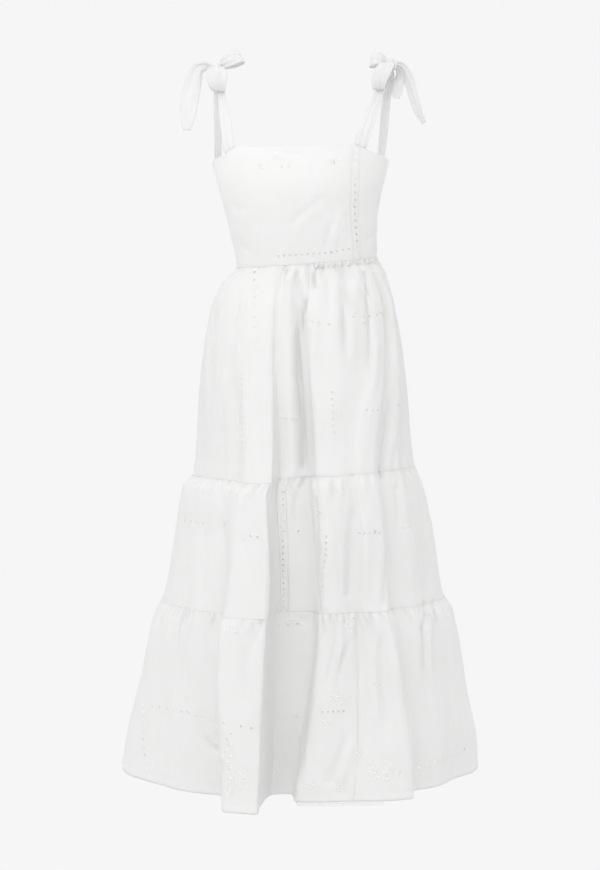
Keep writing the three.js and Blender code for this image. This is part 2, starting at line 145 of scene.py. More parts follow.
# The square neckline: how far the top edge stands above the sides, by the angle round the dress
NECKLINE = (
    (-90, 0), (-70, 3), (-55, 9.5), (-44, 19), (-32, 17.5), (0, 12.5),
    (28, 16.5), (38, 18.5), (49, 12), (66, 4), (90, 0), (270, 0),
)
LINES = (
    Line("side_left", -90, -90, -90, -90, -90),
    Line("left_hollow", -72, -70, -62, -57, -49, -1, -6, 0, -4, 2),
    Line("left_crest", -58, -56, -44.5, -43, -34, 2, -2, 11, 7, 5),
    Line("lobe1_left_foot", -46, -44, -34, -32, -22.3, 2, 3, 14, 1, 8),
    Line("lobe1_left_edge", -34, -32, -24, -25, -19.2, 4, 33, 60, 98, 12),
    Line("lobe1_right_edge", -20, -18, -13, -11.2, -9.8, 5, 34, 60, 99, 13),
    Line("trough1_left", -15, -13, -11, -10, -8.6, 0, 19, 14, 14, 9),
    Line("ladder_left", -10, -10, -8.9, -7, -7.1, -2, -1, -15, -19, 7),
    Line("ladder_right", -5, -6, -4.7, -3.8, -4.2, -3, 0, -17, -21, 6),
    Line("trough1_right", 2, -1, 5, 5.7, -0.9, -12, -13, -14, -15, 5),
    Line("lobe2_left_edge", 10, 8, 9.1, 8.6, 1.3, 4, 14, 20, 37, 5),
    Line("lobe2_left_crest", 22, 22, 17, 14.4, 9.8, 6, 27, 31, 48, 5),
    Line("lobe2_seam", 37.1, 42.5, 25.4, 22.1, 18.3, 1, 29, 22, 49, 4),
    Line("lobe2_right_crest", 43, 51.3, 30.9, 27.6, 27.2, 5, 37, 40, 60, 4),
    Line("lobe2_right_edge", 53, 60, 36.5, 33.9, 34.8, 4, 36, 44, 65, 3),
    Line("trough2", 61, 67, 42.6, 38.7, 38.4, -7, 18, 17, 18, 2),
    Line("right_crest", 70, 75, 51.7, 47.5, 47.3, 4, 16, 22, 14, 1),
    Line("right_hollow", 80, 82, 64, 60.7, 61.6, -3, 3, 7, -5, 0),
    Line("side_right", 90, 90, 90, 90, 90),
    Line("back_a_foot", 103, 104, 105, 102, 101, 0, -2, -4, -6, 0),
    Line("back_a_left", 113, 114, 116, 114, 113, 3, 8, 12, 20, 4),
    Line("back_a_right", 126, 127, 128, 126, 127, 4, 13, 26, 50, 6),
    Line("back_b_trough", 136, 137, 135, 134, 134, -8, -8, -6, -12, 3),
    Line("back_c_left", 147, 148, 144, 143, 141, 5, 18, 38, 66, 6),
    Line("back_c_right", 160, 161, 160, 162, 163, 6, 21, 44, 88, 8),
    Line("back_d_trough", 172, 172, 171, 169, 167, -9, -10, -14, -16, 5),
    Line("back_d_far", 182, 182, 181, 180, 179, -5, -8, -15, -10, 5),
    Line("back_e_left", 191, 190, 188, 187, 185, 4, 15, 36, 80, 6),
    Line("back_e_right", 203, 202, 200, 201, 202, 5, 18, 40, 70, 5),
    Line("back_f_trough", 212, 212, 210, 209, 208, -8, -7, -10, -12, 3),
    Line("back_g_left", 223, 222, 220, 219, 217, 4, 17, 30, 58, 5),
    Line("back_g_right", 236, 235, 236, 236, 235, 3, 12, 24, 46, 6),
    Line("back_h_trough", 247, 246, 245, 244, 245, -5, -5, -8, -10, 2),
    Line("back_i_crest", 258, 258, 257, 257, 256, 2, 6, 12, 15, 1),
    Line("side_left_again", 270, 270, 270, 270, 270),
)


def reached(points: Array) -> Array:
    """How far along a path each of its points lies."""
    return np.concatenate([[0.0], np.cumsum(np.linalg.norm(np.diff(points, axis=0), axis=1))])


def unit(rows: Array) -> Array:
    """A direction, or one in each row, made 1 long."""
    return rows / np.linalg.norm(rows, axis=-1, keepdims=True)


def hill(off: Array, width: float) -> Array:
    """A smooth hill, 1 high at 0 and nearly gone at twice its width."""
    return np.exp(-((off / width) ** 2))


def hermite(v0: Array, m0: Array, v1: Array, m1: Array, run: Array, t: Array) -> Array:
    """Cubic between two values with a slope at each, `run` apart, at the share t."""
    t2, t3 = t * t, t * t * t
    near, far = v0 * (2 * t3 - 3 * t2 + 1), v1 * (3 * t2 - 2 * t3)
    return near + m0 * run * (t3 - 2 * t2 + t) + far + m1 * run * (t3 - t2)


def even_slope(before: Array, after: Array, run_before: Array, run_after: Array) -> Array:
    """Slope at a point that keeps a curve from swinging past it.

    Args:
        before: Slope of the chord before the point.
        after: Slope of the chord after it.
        run_before: Length of the chord before it.
        run_after: Length of the chord after it.

    Returns:
        The weighted harmonic mean of both slopes, or 0 where they differ in sign.
    """
    near, far = 2 * run_after + run_before, run_after + 2 * run_before
    with np.errstate(divide="ignore", invalid="ignore"):
        mean = (near + far) / (near / before + far / after)
    return np.where(before * after > 0, mean, 0)


class Curves:
    """Smooth curves through points at the same stations, which never swing past them."""

    def __init__(self, stations: Sequence[float], values: Sequence[Sequence[float]]) -> None:
        """Takes rising stations, and one row of values for each curve.

        Args:
            stations: Where the values lie, rising.
            values: One row for each curve.
        """
        self.at = np.asarray(stations, float)
        self.values = np.atleast_2d(np.asarray(values, float))
        run = np.diff(self.at)
        rise = np.diff(self.values, axis=1) / run
        inner = even_slope(rise[:, :-1], rise[:, 1:], run[:-1], run[1:])
        self.slopes = np.concatenate([rise[:, :1], inner, rise[:, -1:]], axis=1)

    @classmethod
    def down(cls, table: Sequence[Section | Level], names: Sequence[str]) -> "Curves":
        """The named columns of a table, by how far down the dress its rows lie."""
        return cls([-row.z for row in table], [[getattr(row, name) for row in table] for name in names])

    def read(self, x: Array, row: int | Array = 0) -> Array:
        """The value of a curve at each x.

        Args:
            x: Stations, or between them.
            row: The curve's number, or one for each x.

        Returns:
            The values, which hold still past either end.
        """
        i = np.clip(np.searchsorted(self.at, x, side="left") - 1, 0, len(self.at) - 2)
        run = self.at[i + 1] - self.at[i]
        t = np.clip((x - self.at[i]) / run, 0, 1)
        v, m = self.values, self.slopes
        return hermite(v[row, i], m[row, i], v[row, i + 1], m[row, i + 1], run, t)


class Form:
    """The dress's smooth form, as in its model: sections, folds and the levels of the seams."""

    LEFT, RIGHT, FRONT, BACK = range(4)
    TILT, RISE, SAG, NECK = range(4)
    LEAN_OVER = 2.0  # the cloth's direction is taken from this far either side
    DRAWN_OVER = 3.0  # and how tightly it is drawn in, from this far
    RULER_MARKS = 400

    def __init__(self) -> None:
        """Reads the tables and measures the hem."""
        self.sections = Curves.down(SECTIONS, ("left", "right", "front", "back"))
        self.levels = Curves.down(LEVELS, ("tilt", "rise", "sag", "neck"))
        self.neckline = Curves([angle for angle, _ in NECKLINE], [[above for _, above in NECKLINE]])
        self.angles = Curves([-EDGE, -WAIST, -SEAM1, -SEAM2, -HEM], [line.angles for line in LINES])
        self.reaches = Curves([-WAIST, -HIP, -SEAM1, -SEAM2, -HEM], [line.reaches for line in LINES])
        self.sags = np.array([line.sag for line in LINES], float)
        every = np.arange(len(LINES))
        depth = np.full(len(LINES), -HEM)
        angles, outs = self.angles.read(depth, every), self.reaches.read(depth, every)
        self.starts = reached(np.stack(self.section(angles, outs, depth), axis=1))

    def along(self, name: str) -> float:
        """The place of a line, by its name."""
        return float(self.starts[[line.name for line in LINES].index(name)])

    def section(self, angle: Array, out: Array, depth: Array) -> tuple[Array, Array]:
        """Where the cloth is, seen from above.

        Args:
            angle: Degrees round the dress, 0 at the front and 90 on the right.
            out: How far it stands off the section.
            depth: How far down the dress.

        Returns:
            Its x and its y.
        """
        s, c = np.sin(np.radians(angle)), np.cos(np.radians(angle))
        left, right = self.sections.read(depth, self.LEFT), self.sections.read(depth, self.RIGHT)
        reach = self.sections.read(depth, np.where(c > 0, self.FRONT, self.BACK))
        away = np.hypot(s**3, c)
        x = (right - left) / 2 + (right + left) / 2 * s + out * s**3 / away
        return x, -reach * c - out * c / away

    def off_level(self, angle: Array, depth: Array) -> Array:
        """How far a seam at a height runs above its own level at an angle.

        Args:
            angle: Degrees round the dress.
            depth: How far down the dress its level is.

        Returns:
            Millimetres, with the neckline's own at the top edge.
        """
        tilt, rise = self.levels.read(depth, self.TILT), self.levels.read(depth, self.RISE)
        seam = tilt * np.sin(np.radians(angle)) + rise * np.maximum(0, np.cos(np.radians(angle)))
        return seam + self.levels.read(depth, self.NECK) * self.neckline.read(angle)

    def cloth(self, place: Array, z: Array) -> Array:
        """The cloth's outer face.

        Args:
            place: Places round the hem.
            z: Heights before the seams' own tilt and sag.

        Returns:
            One point a row, in millimetres.
        """
        last = len(LINES) - 1
        k = np.clip(np.searchsorted(self.starts, place, side="left") - 1, 0, last - 1)
        near = np.clip(k[:, None] + np.arange(-1, 3), 0, last)
        stations = self.starts[near]
        run = np.diff(stations, axis=1)
        t = np.clip((place - stations[:, 1]) / run[:, 1], 0, 1)

        def across(values: Array) -> Array:
            """The curve between the two lines either side of each place, from the four nearest lines.

            Args:
                values: Those lines' values, one row for each place.

            Returns:
                The value at each place.
            """
            with np.errstate(divide="ignore", invalid="ignore"):
                rise = np.diff(values, axis=1) / run
            before = even_slope(rise[:, 0], rise[:, 1], run[:, 0], run[:, 1])
            after = even_slope(rise[:, 1], rise[:, 2], run[:, 1], run[:, 2])
            before = np.where(k == 0, rise[:, 1], before)
            after = np.where(k == last - 1, rise[:, 1], after)
            return hermite(values[:, 1], before, values[:, 2], after, run[:, 1], t)

        depth = -z[:, None]
        angle = across(self.angles.read(depth, near))
        out = np.where(z < WAIST, across(self.reaches.read(depth, near)), 0)
        x, y = self.section(angle, out, -z)
        sag = self.levels.read(-z, self.SAG) * across(self.sags[near])
        return np.stack([x, y, z + self.off_level(angle, -z) - sag], axis=1)

    def outward(self, place: Array, z: Array) -> Array:
        """The level direction straight out of the cloth at each point."""
        run = self.cloth(place + self.LEAN_OVER, z) - self.cloth(place - self.LEAN_OVER, z)
        return unit(np.stack([run[:, 1], -run[:, 0], np.zeros(len(run))], axis=1))

    def drawn(self, place: Array, z: Array) -> Array:
        """Millimetres of cloth in place for each millimetre of the hem, at each point."""
        run = self.cloth(place + self.DRAWN_OVER, z) - self.cloth(place - self.DRAWN_OVER, z)
        return np.linalg.norm(run, axis=1) / (2 * self.DRAWN_OVER)

    def drawn_at(self, spot: Spot | Array) -> float:
        """The same at one place and height."""
        return float(self.drawn(np.array([spot[0]]), np.array([spot[1]]))[0])

    def ruler(self, start: float, end: float, z: float) -> tuple[Array, Array]:
        """Places between two others, and how many millimetres of cloth lie before each at a height."""
        places = np.linspace(start, end, self.RULER_MARKS)
        return places, reached(self.cloth(places, np.full(self.RULER_MARKS, z)))


FORM = Form()


@dataclass(frozen=True)
class Sight:
    """The photograph's camera: how a point of the dress falls in its 600 by 870 picture, and back again."""

    focal: float = 1579.0  # pixels, for each millimetre of an object as many millimetres away as it is wide
    distance: float = 3000.0
    azimuth: float = math.radians(3)
    height: float = -604.0
    middle: float = 299.5
    horizon: float = 400.0
    long_side: float = 870.0
    sensor: float = 36.0  # its long side

    def project(self, points: Array) -> Array:
        """Where points fall in the picture.

        Args:
            points: One a row, in millimetres.

        Returns:
            Their picture coordinates and how near they are, one row for each.
        """
        c, s = math.cos(self.azimuth), math.sin(self.azimuth)
        across = points[:, 0] * c + points[:, 1] * s
        near = points[:, 0] * s - points[:, 1] * c
        scale = self.focal / (self.distance - near)
        down = self.height - points[:, 2]
        return np.stack([self.middle + scale * across, self.horizon + scale * down, near], axis=1)

    def make_camera(self) -> None:
        """Adds the camera and makes it the scene's."""
        data = bpy.data.cameras.new("picture_camera")
        data.lens = self.sensor * self.focal / self.long_side
        data.sensor_width = self.sensor
        data.shift_y = (self.horizon - self.long_side / 2) / self.long_side
        camera = bpy.data.objects.new("picture_camera", data)
        bpy.context.scene.collection.objects.link(camera)
        place = Vector((math.sin(self.azimuth), -math.cos(self.azimuth), 0)) * self.distance
        place.z = self.height
        camera.location = place * MM
        camera.rotation_euler = (math.pi / 2, 0, self.azimuth)
        bpy.context.scene.camera = camera


SIGHT = Sight()


class Chart:
    """Finds where spots of the picture lie on the front of the dress."""

    STEP = 5.0
    NEAREST_FIRST = 0.02  # of two layers that show at one spot, the nearer counts
    SAME_SPOT = 4.0  # pixels
    ROUNDS = 4
    LONGEST_MOVE = 8.0  # millimetres, in one round
    LEAST_TURN = 0.01  # where the cloth is seen edge on

    def __init__(self) -> None:
        """Charts the front of the dress in the picture."""
        side = FORM.along("side_right")
        places, heights = np.meshgrid(np.arange(0, side, self.STEP), np.arange(EDGE, HEM, -self.STEP))
        self.places, self.heights = places.ravel(), heights.ravel()
        self.seen = SIGHT.project(FORM.cloth(self.places, self.heights))

    def find(self, spots: Sequence[Spot]) -> Array:
        """Where spots of the picture lie.

        Args:
            spots: Picture coordinates.

        Returns:
            The place and height of the nearest cloth under each, one row for each.
        """
        aims = np.array(spots, float)
        starts = []
        for x, y in aims:
            off = np.hypot(self.seen[:, 0] - x, self.seen[:, 1] - y)
            gain = np.where(off < self.SAME_SPOT, self.seen[:, 2] * self.NEAREST_FIRST, 0)
            starts.append(int(np.argmin(off - gain)))
        at = np.stack([self.places[starts], self.heights[starts]], axis=1)
        for _ in range(self.ROUNDS):
            here = SIGHT.project(FORM.cloth(at[:, 0], at[:, 1]))[:, :2]
            beside = SIGHT.project(FORM.cloth(at[:, 0] + 1, at[:, 1]))[:, :2] - here
            above = SIGHT.project(FORM.cloth(at[:, 0], at[:, 1] + 1))[:, :2] - here
            left = aims - here
            turn = self.turn(beside, above)
            turn = np.where(np.abs(turn) < self.LEAST_TURN, self.LEAST_TURN, turn)
            move = np.stack([self.turn(left, above), self.turn(beside, left)], axis=1)
            at = at + np.clip(move / turn[:, None], -self.LONGEST_MOVE, self.LONGEST_MOVE)
        return at

    @staticmethod
    def turn(one: Array, other: Array) -> Array:
        """Cross product of two directions in the picture, row by row."""
        return one[:, 0] * other[:, 1] - one[:, 1] * other[:, 0]


CHART = Chart()


def mirrored(place: Array) -> Array:
    """The places on the back that stand for some on the front."""
    side = FORM.along("side_right")
    return side + (side - place) * (float(FORM.starts[-1]) - side) / side


def behind(stops: Array) -> Array:
    """The same for places with heights, one a row."""
    return np.stack([mirrored(stops[:, 0]), stops[:, 1]], axis=1)


@dataclass(frozen=True)
class Crease:
    """A soft trough or ridge, along a path in the picture.

    `width` is from its middle to where it has nearly gone, `height` is how far it stands out, below 0 for a
    trough, and `fade` is the share of its length over which it comes and goes at each end.
    """

    path: tuple[Spot, ...]
    width: float
    height: float
    fade: Spot = (0.25, 0.25)


CREASES = (
    # Bodice: slanting pulls from the bust to the waist, dents at the sides and under the top edge
    Crease(((325, 189), (314, 203), (296, 216), (288, 229)), 6, -2.8),
    Crease(((331, 200), (315, 210), (300, 225), (289, 238)), 7, 2.0),
    Crease(((332, 217), (326, 236), (323, 252)), 6, -2.6),
    Crease(((339, 212), (334, 232), (331, 248)), 6, 1.9),
    Crease(((306, 185), (297, 200), (283, 214)), 9, -1.0),
    Crease(((278, 152), (290, 154), (303, 152)), 5, -3.0, (0.4, 0.4)),
    Crease(((228, 205), (238, 209), (249, 210)), 8, -3.0, (0.1, 0.6)),
    Crease(((238, 240), (245, 252), (252, 258)), 7, -2.6, (0.2, 0.6)),
    Crease(((376, 190), (366, 197), (360, 205)), 7, -2.4, (0.2, 0.5)),
    Crease(((374, 232), (366, 240), (361, 250)), 6, -1.8, (0.2, 0.5)),
    Crease(((313, 160), (312, 170), (310, 178)), 5, -1.2),
    # First tier: deep troughs under the gathers, and soft falls between them
    Crease(
        ((303, 296), (299, 314), (297.5, 334), (300, 382), (304, 423), (305, 474)), 5.6, -10.8, (0.06, 0.06)
    ),
    Crease(((305, 297), (301.5, 312), (300.5, 332), (302, 352)), 3, -4.5, (0.05, 0.5)),
    Crease(((312, 300), (310, 340), (312, 380), (316, 430), (317, 474)), 8, 5, (0.2, 0)),
    Crease(((287, 312), (287, 360), (288, 423), (289, 476)), 9, 4, (0.3, 0)),
    Crease(((277, 285), (277, 400), (276.5, 476)), 13, 2.5, (0.3, 0)),
    Crease(((297.5, 270), (297, 284), (300, 302)), 3.2, -5.4, (0.15, 0.3)),
    Crease(((277, 272), (277, 283), (276, 300)), 4, -3.4, (0.2, 0.6)),
    Crease(((286, 270), (285, 280), (284, 294)), 2.6, -3.6, (0.1, 0.6)),
    Crease(((307, 269), (306.5, 282), (305, 296)), 2.6, -4.6, (0.1, 0.6)),
    Crease(((314.5, 268), (314, 282), (313.5, 299)), 2.6, -4.6, (0.1, 0.6)),
    Crease(((321.5, 268), (321.5, 280), (322, 296)), 2.4, 3.4, (0.1, 0.6)),
    Crease(((334.5, 267), (335, 281), (335.5, 298)), 2.4, -4.2, (0.1, 0.6)),
    Crease(((351, 267), (350, 282), (348, 298)), 2.6, -4.8, (0.1, 0.6)),
    Crease(((327.5, 268), (327, 282), (327, 300)), 2.6, -4.6, (0.1, 0.6)),
    Crease(((357, 268), (357, 285), (356, 306)), 3, 4.6, (0.1, 0.6)),
    Crease(((341, 268), (344, 290), (344, 320), (342, 372)), 5, -10, (0.08, 0.45)),
    Crease(((334, 272), (336, 300), (335, 330)), 5.5, 4),
    Crease(((350, 285), (352, 330), (351, 370)), 6, 3.5),
    Crease(((363, 268), (366, 300), (367, 348), (365, 410)), 4.5, -8, (0.05, 0.45)),
    Crease(((373, 335), (374, 365), (372, 395)), 6, 4.5),
    Crease(((372, 272), (377, 288), (383, 305)), 5, -4.5, (0.05, 0.5)),
    Crease(((391, 318), (395, 342), (398, 368)), 7, -5),
    Crease(((389, 388), (385, 432), (380, 476)), 8, -9, (0.35, 0)),
    Crease(((398, 430), (395, 450), (392, 476)), 6, -3, (0.4, 0)),
    Crease(((275, 338), (273, 360), (273, 384)), 6, -2.5),
    Crease(((252, 330), (247, 380), (246, 440)), 12, -1.8, (0.4, 0.3)),
    Crease(((262, 300), (262, 350), (258, 420)), 10, 2, (0.4, 0.4)),
    Crease(((216, 308), (212, 322), (211, 338)), 7, -3.5),
    Crease(((228, 300), (224, 350), (222, 420)), 11, 1.8, (0.4, 0.4)),
    Crease(((325, 276), (326, 300), (325, 335)), 5, -2.6, (0.1, 0.6)),
    Crease(((348, 410), (350, 440), (350, 474)), 9, -3, (0.5, 0)),
    # Second tier
    Crease(((278, 486), (277.5, 540), (277, 612)), 15, 2.5, (0.12, 0)),
    Crease(((312, 490), (315, 533), (314, 584), (316, 608)), 6.5, -6, (0.12, 0)),
    Crease(((323, 520), (324, 560), (322, 606)), 7, 3.5, (0.3, 0)),
    Crease(((350, 503), (349, 540), (347, 602)), 7.5, -5.5, (0.15, 0.1)),
    Crease(((362, 505), (363, 540), (361, 600)), 8, 3),
    Crease(((385, 545), (384, 570), (382, 604)), 9, -5, (0.4, 0)),
    Crease(((248, 493), (243, 505), (239, 520)), 3.5, -2.8, (0.1, 0.5)),
    Crease(((334, 488), (331, 500), (330, 514)), 3.5, -2.4, (0.1, 0.5)),
    Crease(((222, 490), (223, 540), (224, 596)), 1.8, -1.1, (0, 0)),
    Crease(((296, 492), (293, 510), (293, 530)), 4, -3, (0.1, 0.5)),
    Crease(((398, 485), (403, 500), (405, 530)), 5, 3.5, (0.1, 0.5)),
    Crease(((394, 484), (396, 505), (397, 540)), 5, -4, (0.1, 0.5)),
    Crease(((205, 500), (200, 545), (198, 596)), 12, -2.2, (0.4, 0.1)),
    # Third tier
    Crease(((200, 729), (209, 748), (221, 770)), 5, -5, (0.2, 0.1)),
    Crease(((207, 725), (217, 745), (226, 766)), 5, 3, (0.3, 0.2)),
    Crease(((188, 752), (186, 770), (184, 788)), 7, -3, (0.5, 0)),
    Crease(((167, 752), (165, 768), (163, 786)), 8, -2.6, (0.5, 0)),
    Crease(((189, 610), (184, 618), (179, 628)), 4.5, -3.4),
    Crease(((242, 640), (241, 680), (242, 712)), 6, -2.8),
    Crease(((250, 640), (254, 690), (255, 740)), 7, 3.0),
    Crease(((273, 616), (272, 700), (272, 800)), 16, 3, (0.1, 0)),
    Crease(((334, 628), (331, 655), (324, 690)), 5.5, -4),
    Crease(((349, 636), (343, 655), (334, 682)), 5.5, -3),
    Crease(((341, 632), (338, 655), (331, 690)), 4.5, 3.0),
    Crease(((347, 728), (340, 752), (326, 788)), 8, -3.8, (0.3, 0.1)),
    Crease(((352, 735), (346, 757), (336, 790)), 7, 3.5),
    Crease(((305, 728), (303, 745), (302, 770)), 5, -3.6),
    Crease(((313, 640), (306, 680), (304, 715)), 7, -2.2),
    Crease(((379, 628), (378, 660), (380, 690), (387, 745)), 8, -6.5, (0.2, 0.3)),
    Crease(((369, 640), (368, 665), (368, 700)), 6, 2.4),
    Crease(((392, 640), (397, 690), (403, 760)), 8, 3.5),
    Crease(((424, 598), (422, 630), (423, 670), (425, 712)), 5.5, -6.5, (0.1, 0.4)),
    Crease(((433, 596), (434, 625), (437, 655)), 5, -4, (0.1, 0.5)),
    Crease(((429, 596), (428, 640), (431, 690)), 4.5, 3, (0.1, 0.4)),
    Crease(((446, 640), (452, 700), (456, 745)), 10, 2.6),
    Crease(((300, 700), (298, 730), (296, 790)), 5, 3.5, (0.3, 0)),
)


@dataclass(frozen=True)
class Trail:
    """A crease laid on the cloth: its stops as places and heights, and how tightly it is drawn in there."""

    stops: Array
    drawn: float
    crease: Crease

    LIT_FROM_LEFT = 0.22  # pixels for each millimetre of its width, from a crease's tone to its middle
    REACH = 3.0  # widths, past which nothing is left of it

    @classmethod
    def seen(cls, crease: Crease) -> Array:
        """Where a crease lies. Its tone in the picture is its left side's, as light comes from there."""
        return CHART.find([(x + cls.LIT_FROM_LEFT * crease.width, y) for x, y in crease.path])

    @classmethod
    def through(cls, stops: Array, crease: Crease) -> "Trail":
        """The trail of a crease through places and heights."""
        return cls(stops, FORM.drawn_at(stops[len(stops) // 2]), crease)

    def relief(self, place: Array, z: Array) -> Array:
        """How far the cloth stands out for this crease alone.

        Args:
            place: Places round the hem.
            z: Their heights.

        Returns:
            Millimetres at each point.
        """
        scale = np.array([self.drawn, 1.0])
        stops = self.stops * scale
        lengths = np.linalg.norm(np.diff(stops, axis=0), axis=1)
        passed = reached(stops)
        reach = self.REACH * self.crease.width
        low, high = stops.min(0) - reach, stops.max(0) + reach
        points = np.stack([place, z], axis=1) * scale
        near = np.flatnonzero(((points > low) & (points < high)).all(axis=1))
        total = np.zeros(len(place))
        best, share = np.full(len(near), np.inf), np.zeros(len(near))
        for i, length in enumerate(lengths):
            run = (stops[i + 1] - stops[i]) / length
            off = points[near] - stops[i]
            t = np.clip(off @ run, 0, length)
            far = np.linalg.norm(off - t[:, None] * run, axis=1)
            closer = far < best
            best = np.where(closer, far, best)
            share = np.where(closer, (passed[i] + t) / passed[-1], share)
        start, end = self.crease.fade
        rise = np.clip(share / start, 0, 1) if start else 1.0
        fall = np.clip((1 - share) / end, 0, 1) if end else 1.0
        shape = hill(best, self.crease.width) * np.sin(np.pi / 2 * rise * fall) ** 2
        total[near] = self.crease.height * shape
        return total


@dataclass(frozen=True)
class Gathers:
    """The small pleats under a gathered seam, each with its own depth, length and lean.

    `quiet` is a stretch of places where the pleats are only `quiet_share` as deep.
    """

    top: float
    spacing: Spot
    depth: Spot
    length: Spot
    seed: int
    quiet: Spot = (0.0, 0.0)
    quiet_share: float = 1.0

    STEP = 4.0
    ABOVE = 8.0  # the seam, the cloth is drawn in as well
    WIDTH = (2.2, 4.2)
    LEAN = 0.25
    SPREAD = 0.9  # how much wider a pleat gets by its end
    SIDES = (0.45, 1.9)  # the rolls beside a pleat: their share of its depth, and how many widths off
    RISE = (0.3, 9.0)  # a pleat's share of its depth in the seam itself, and where all of it is reached
    POWER = 1.4  # of how it dies away

    def relief(self, place: Array, z: Array) -> Array:
        """How far the pleats stand in or out.

        Args:
            place: Places round the hem.
            z: Their heights.

        Returns:
            Millimetres at each point.
        """
        rng = np.random.default_rng(self.seed)
        total = np.zeros(len(place))
        at, end = 0.0, float(FORM.starts[-1])
        along = np.arange(0, end + self.STEP, self.STEP)
        tightness = FORM.drawn(along, np.full(len(along), self.top))
        under = np.flatnonzero((z < self.top + self.ABOVE) & (z > self.top - self.length[1] - self.STEP))
        if not len(under):
            return total
        low, high = place[under].min(), place[under].max()
        while at < end:
            at += rng.uniform(*self.spacing) / np.interp(at, along, tightness)
            drawn = np.interp(at, along, tightness)
            depth, length = rng.uniform(*self.depth), rng.uniform(*self.length)
            width, lean = rng.uniform(*self.WIDTH) / drawn, rng.uniform(-self.LEAN, self.LEAN)
            if self.quiet[0] < at < self.quiet[1]:
                depth *= self.quiet_share
            reach = 5 * width + self.LEAN * length
            if at + reach < low or at - reach > high:
                continue
            fallen = (self.top - z[under]) / length
            near = under[(np.abs(place[under] - at) < reach) & (fallen < 1)]
            t = np.clip((self.top - z[near]) / length, 0, 1)
            off = (place[near] - at - lean * t * length) / (width * (1 + self.SPREAD * t))
            shape = hill(off, 1) - self.SIDES[0] * hill(np.abs(off) - self.SIDES[1], 1)
            first, whole = self.RISE
            grown = first + (1 - first) * np.minimum(1, (self.top - z[near]) / whole)
            total[near] -= depth * shape * (1 - t) ** self.POWER * grown
        return total


@dataclass(frozen=True)
class Crumple:
    """An uneven, rolling surface, with the typical length of a roll each way and its height."""

    size: Spot
    height: float
    seed: int

    WAVES = 10
    STRETCH = (0.6, 1.7)

    def relief(self, u: Array, v: Array) -> Array:
        """Its height, mostly between plus and minus `height`.

        Args:
            u: Millimetres one way.
            v: Millimetres the other way.

        Returns:
            Millimetres at each point.
        """
        rng = np.random.default_rng(self.seed)
        total = np.zeros(len(u))
        for _ in range(self.WAVES):
            turn, phase = rng.uniform(0, math.tau), rng.uniform(0, math.tau)
            stretch = rng.uniform(*self.STRETCH)
            way = u / self.size[0] * math.cos(turn) + v / self.size[1] * math.sin(turn)
            total += np.sin(math.tau * way / stretch + phase)
        return total / 4 * self.height


class Relief:
    """All that stands out of the smooth form: creases, gathers, stitching and the cloth's unevenness."""

    SKIRT = (Crumple((70, 260), 1.5, 11), Crumple((36, 130), 0.7, 15), Crumple((22, 40), 0.3, 12))
    BODICE = (Crumple((60, 70), 0.7, 13), Crumple((18, 22), 0.2, 14))
    BODICE_DRAWN = 0.45  # a millimetre of hem is about this much of the bodice
    # Rows of stitches and the fold of the hem: height of the row, its width and how far it stands out
    ROWS = (
        *((seam + 5.0, 1.3, -0.45) for seam in (WAIST, SEAM1, SEAM2)),
        (HEM + 14.0, 1.5, -0.5), (HEM + 4.0, 6.0, 0.5), (EDGE - 9.0, 1.2, -0.45),
    )
    SIDE_FADE = 30.0
    QUIET_TO = (272, 290)  # in the picture: left of it, the pleats under the waist are shallow

    def __init__(self) -> None:
        """Lays the creases on the cloth and sets out the gathers."""
        seen = [(Trail.seen(crease), crease) for crease in CREASES]
        self.trails = [Trail.through(stops, crease) for stops, crease in seen]
        skirt = [(stops, crease) for stops, crease in seen if stops[:, 1].max() < WAIST]
        self.trails += [Trail.through(behind(stops), crease) for stops, crease in skirt]
        quiet_end = float(CHART.find([self.QUIET_TO])[0, 0])
        self.gathers = (
            Gathers(WAIST, (6, 13), (4.2, 8.5), (25, 95), 3, (0.0, quiet_end), 0.26),
            Gathers(SEAM1, (8, 19), (2.2, 5.2), (24, 100), 5),
            Gathers(SEAM2, (9, 21), (2.4, 5.6), (24, 115), 8),
        )

    def at(self, place: Array, z: Array) -> Array:
        """How far the cloth stands out of the smooth form.

        Args:
            place: Places round the hem.
            z: Their heights.

        Returns:
            Millimetres at each point.
        """
        tier = np.where(z > WAIST, 0, np.where(z > SEAM1, 1, np.where(z > SEAM2, 2, 3)))
        total = np.zeros(len(place))
        for number, gathers in enumerate(self.gathers, start=1):
            total += np.where(tier == number, gathers.relief(place, z), 0)
        skirt = sum(part.relief(place, z) for part in self.SKIRT)
        bodice = sum(part.relief(place * self.BODICE_DRAWN, z) for part in self.BODICE)
        total += np.where(tier == 0, bodice, skirt)
        whole = float(FORM.starts[-1])
        # Both sides of the left seam meet
        total *= np.clip(np.minimum(place, whole - place) / self.SIDE_FADE, 0, 1)
        for trail in self.trails:
            total += trail.relief(place, z)
        total += self.shirring(place, z)
        for row, width, height in self.ROWS:
            total += height * hill(z - row, width)
        return total

    @staticmethod
    def shirring(place: Array, z: Array) -> Array:
        """Rows of elastic that draw in the back of the bodice, with the cloth puffed between them.

        Args:
            place: Places round the hem.
            z: Their heights.

        Returns:
            Millimetres that the cloth stands out at each point.
        """
        row, top, bottom = 11.0, EDGE - 12, WAIST + 8
        side_fade, end_fade = 60, 6
        start, end = FORM.along("back_a_foot"), FORM.along("back_i_crest")
        inside = np.clip((place - start) / side_fade, 0, 1) * np.clip((end - place) / side_fade, 0, 1)
        inside *= np.clip((top - z) / end_fade, 0, 1) * np.clip((z - bottom) / end_fade, 0, 1)
        puff = np.abs(np.sin(np.pi * (top - z) / row)) ** 0.7
        pleat = np.sin(place / 3.6 + 1.3 * np.sin(z / 17) + 0.9 * np.sin(place / 31))
        return inside * (1.5 * puff - 1.0 + 0.55 * pleat * (0.4 + 0.6 * puff))


RELIEF = Relief()


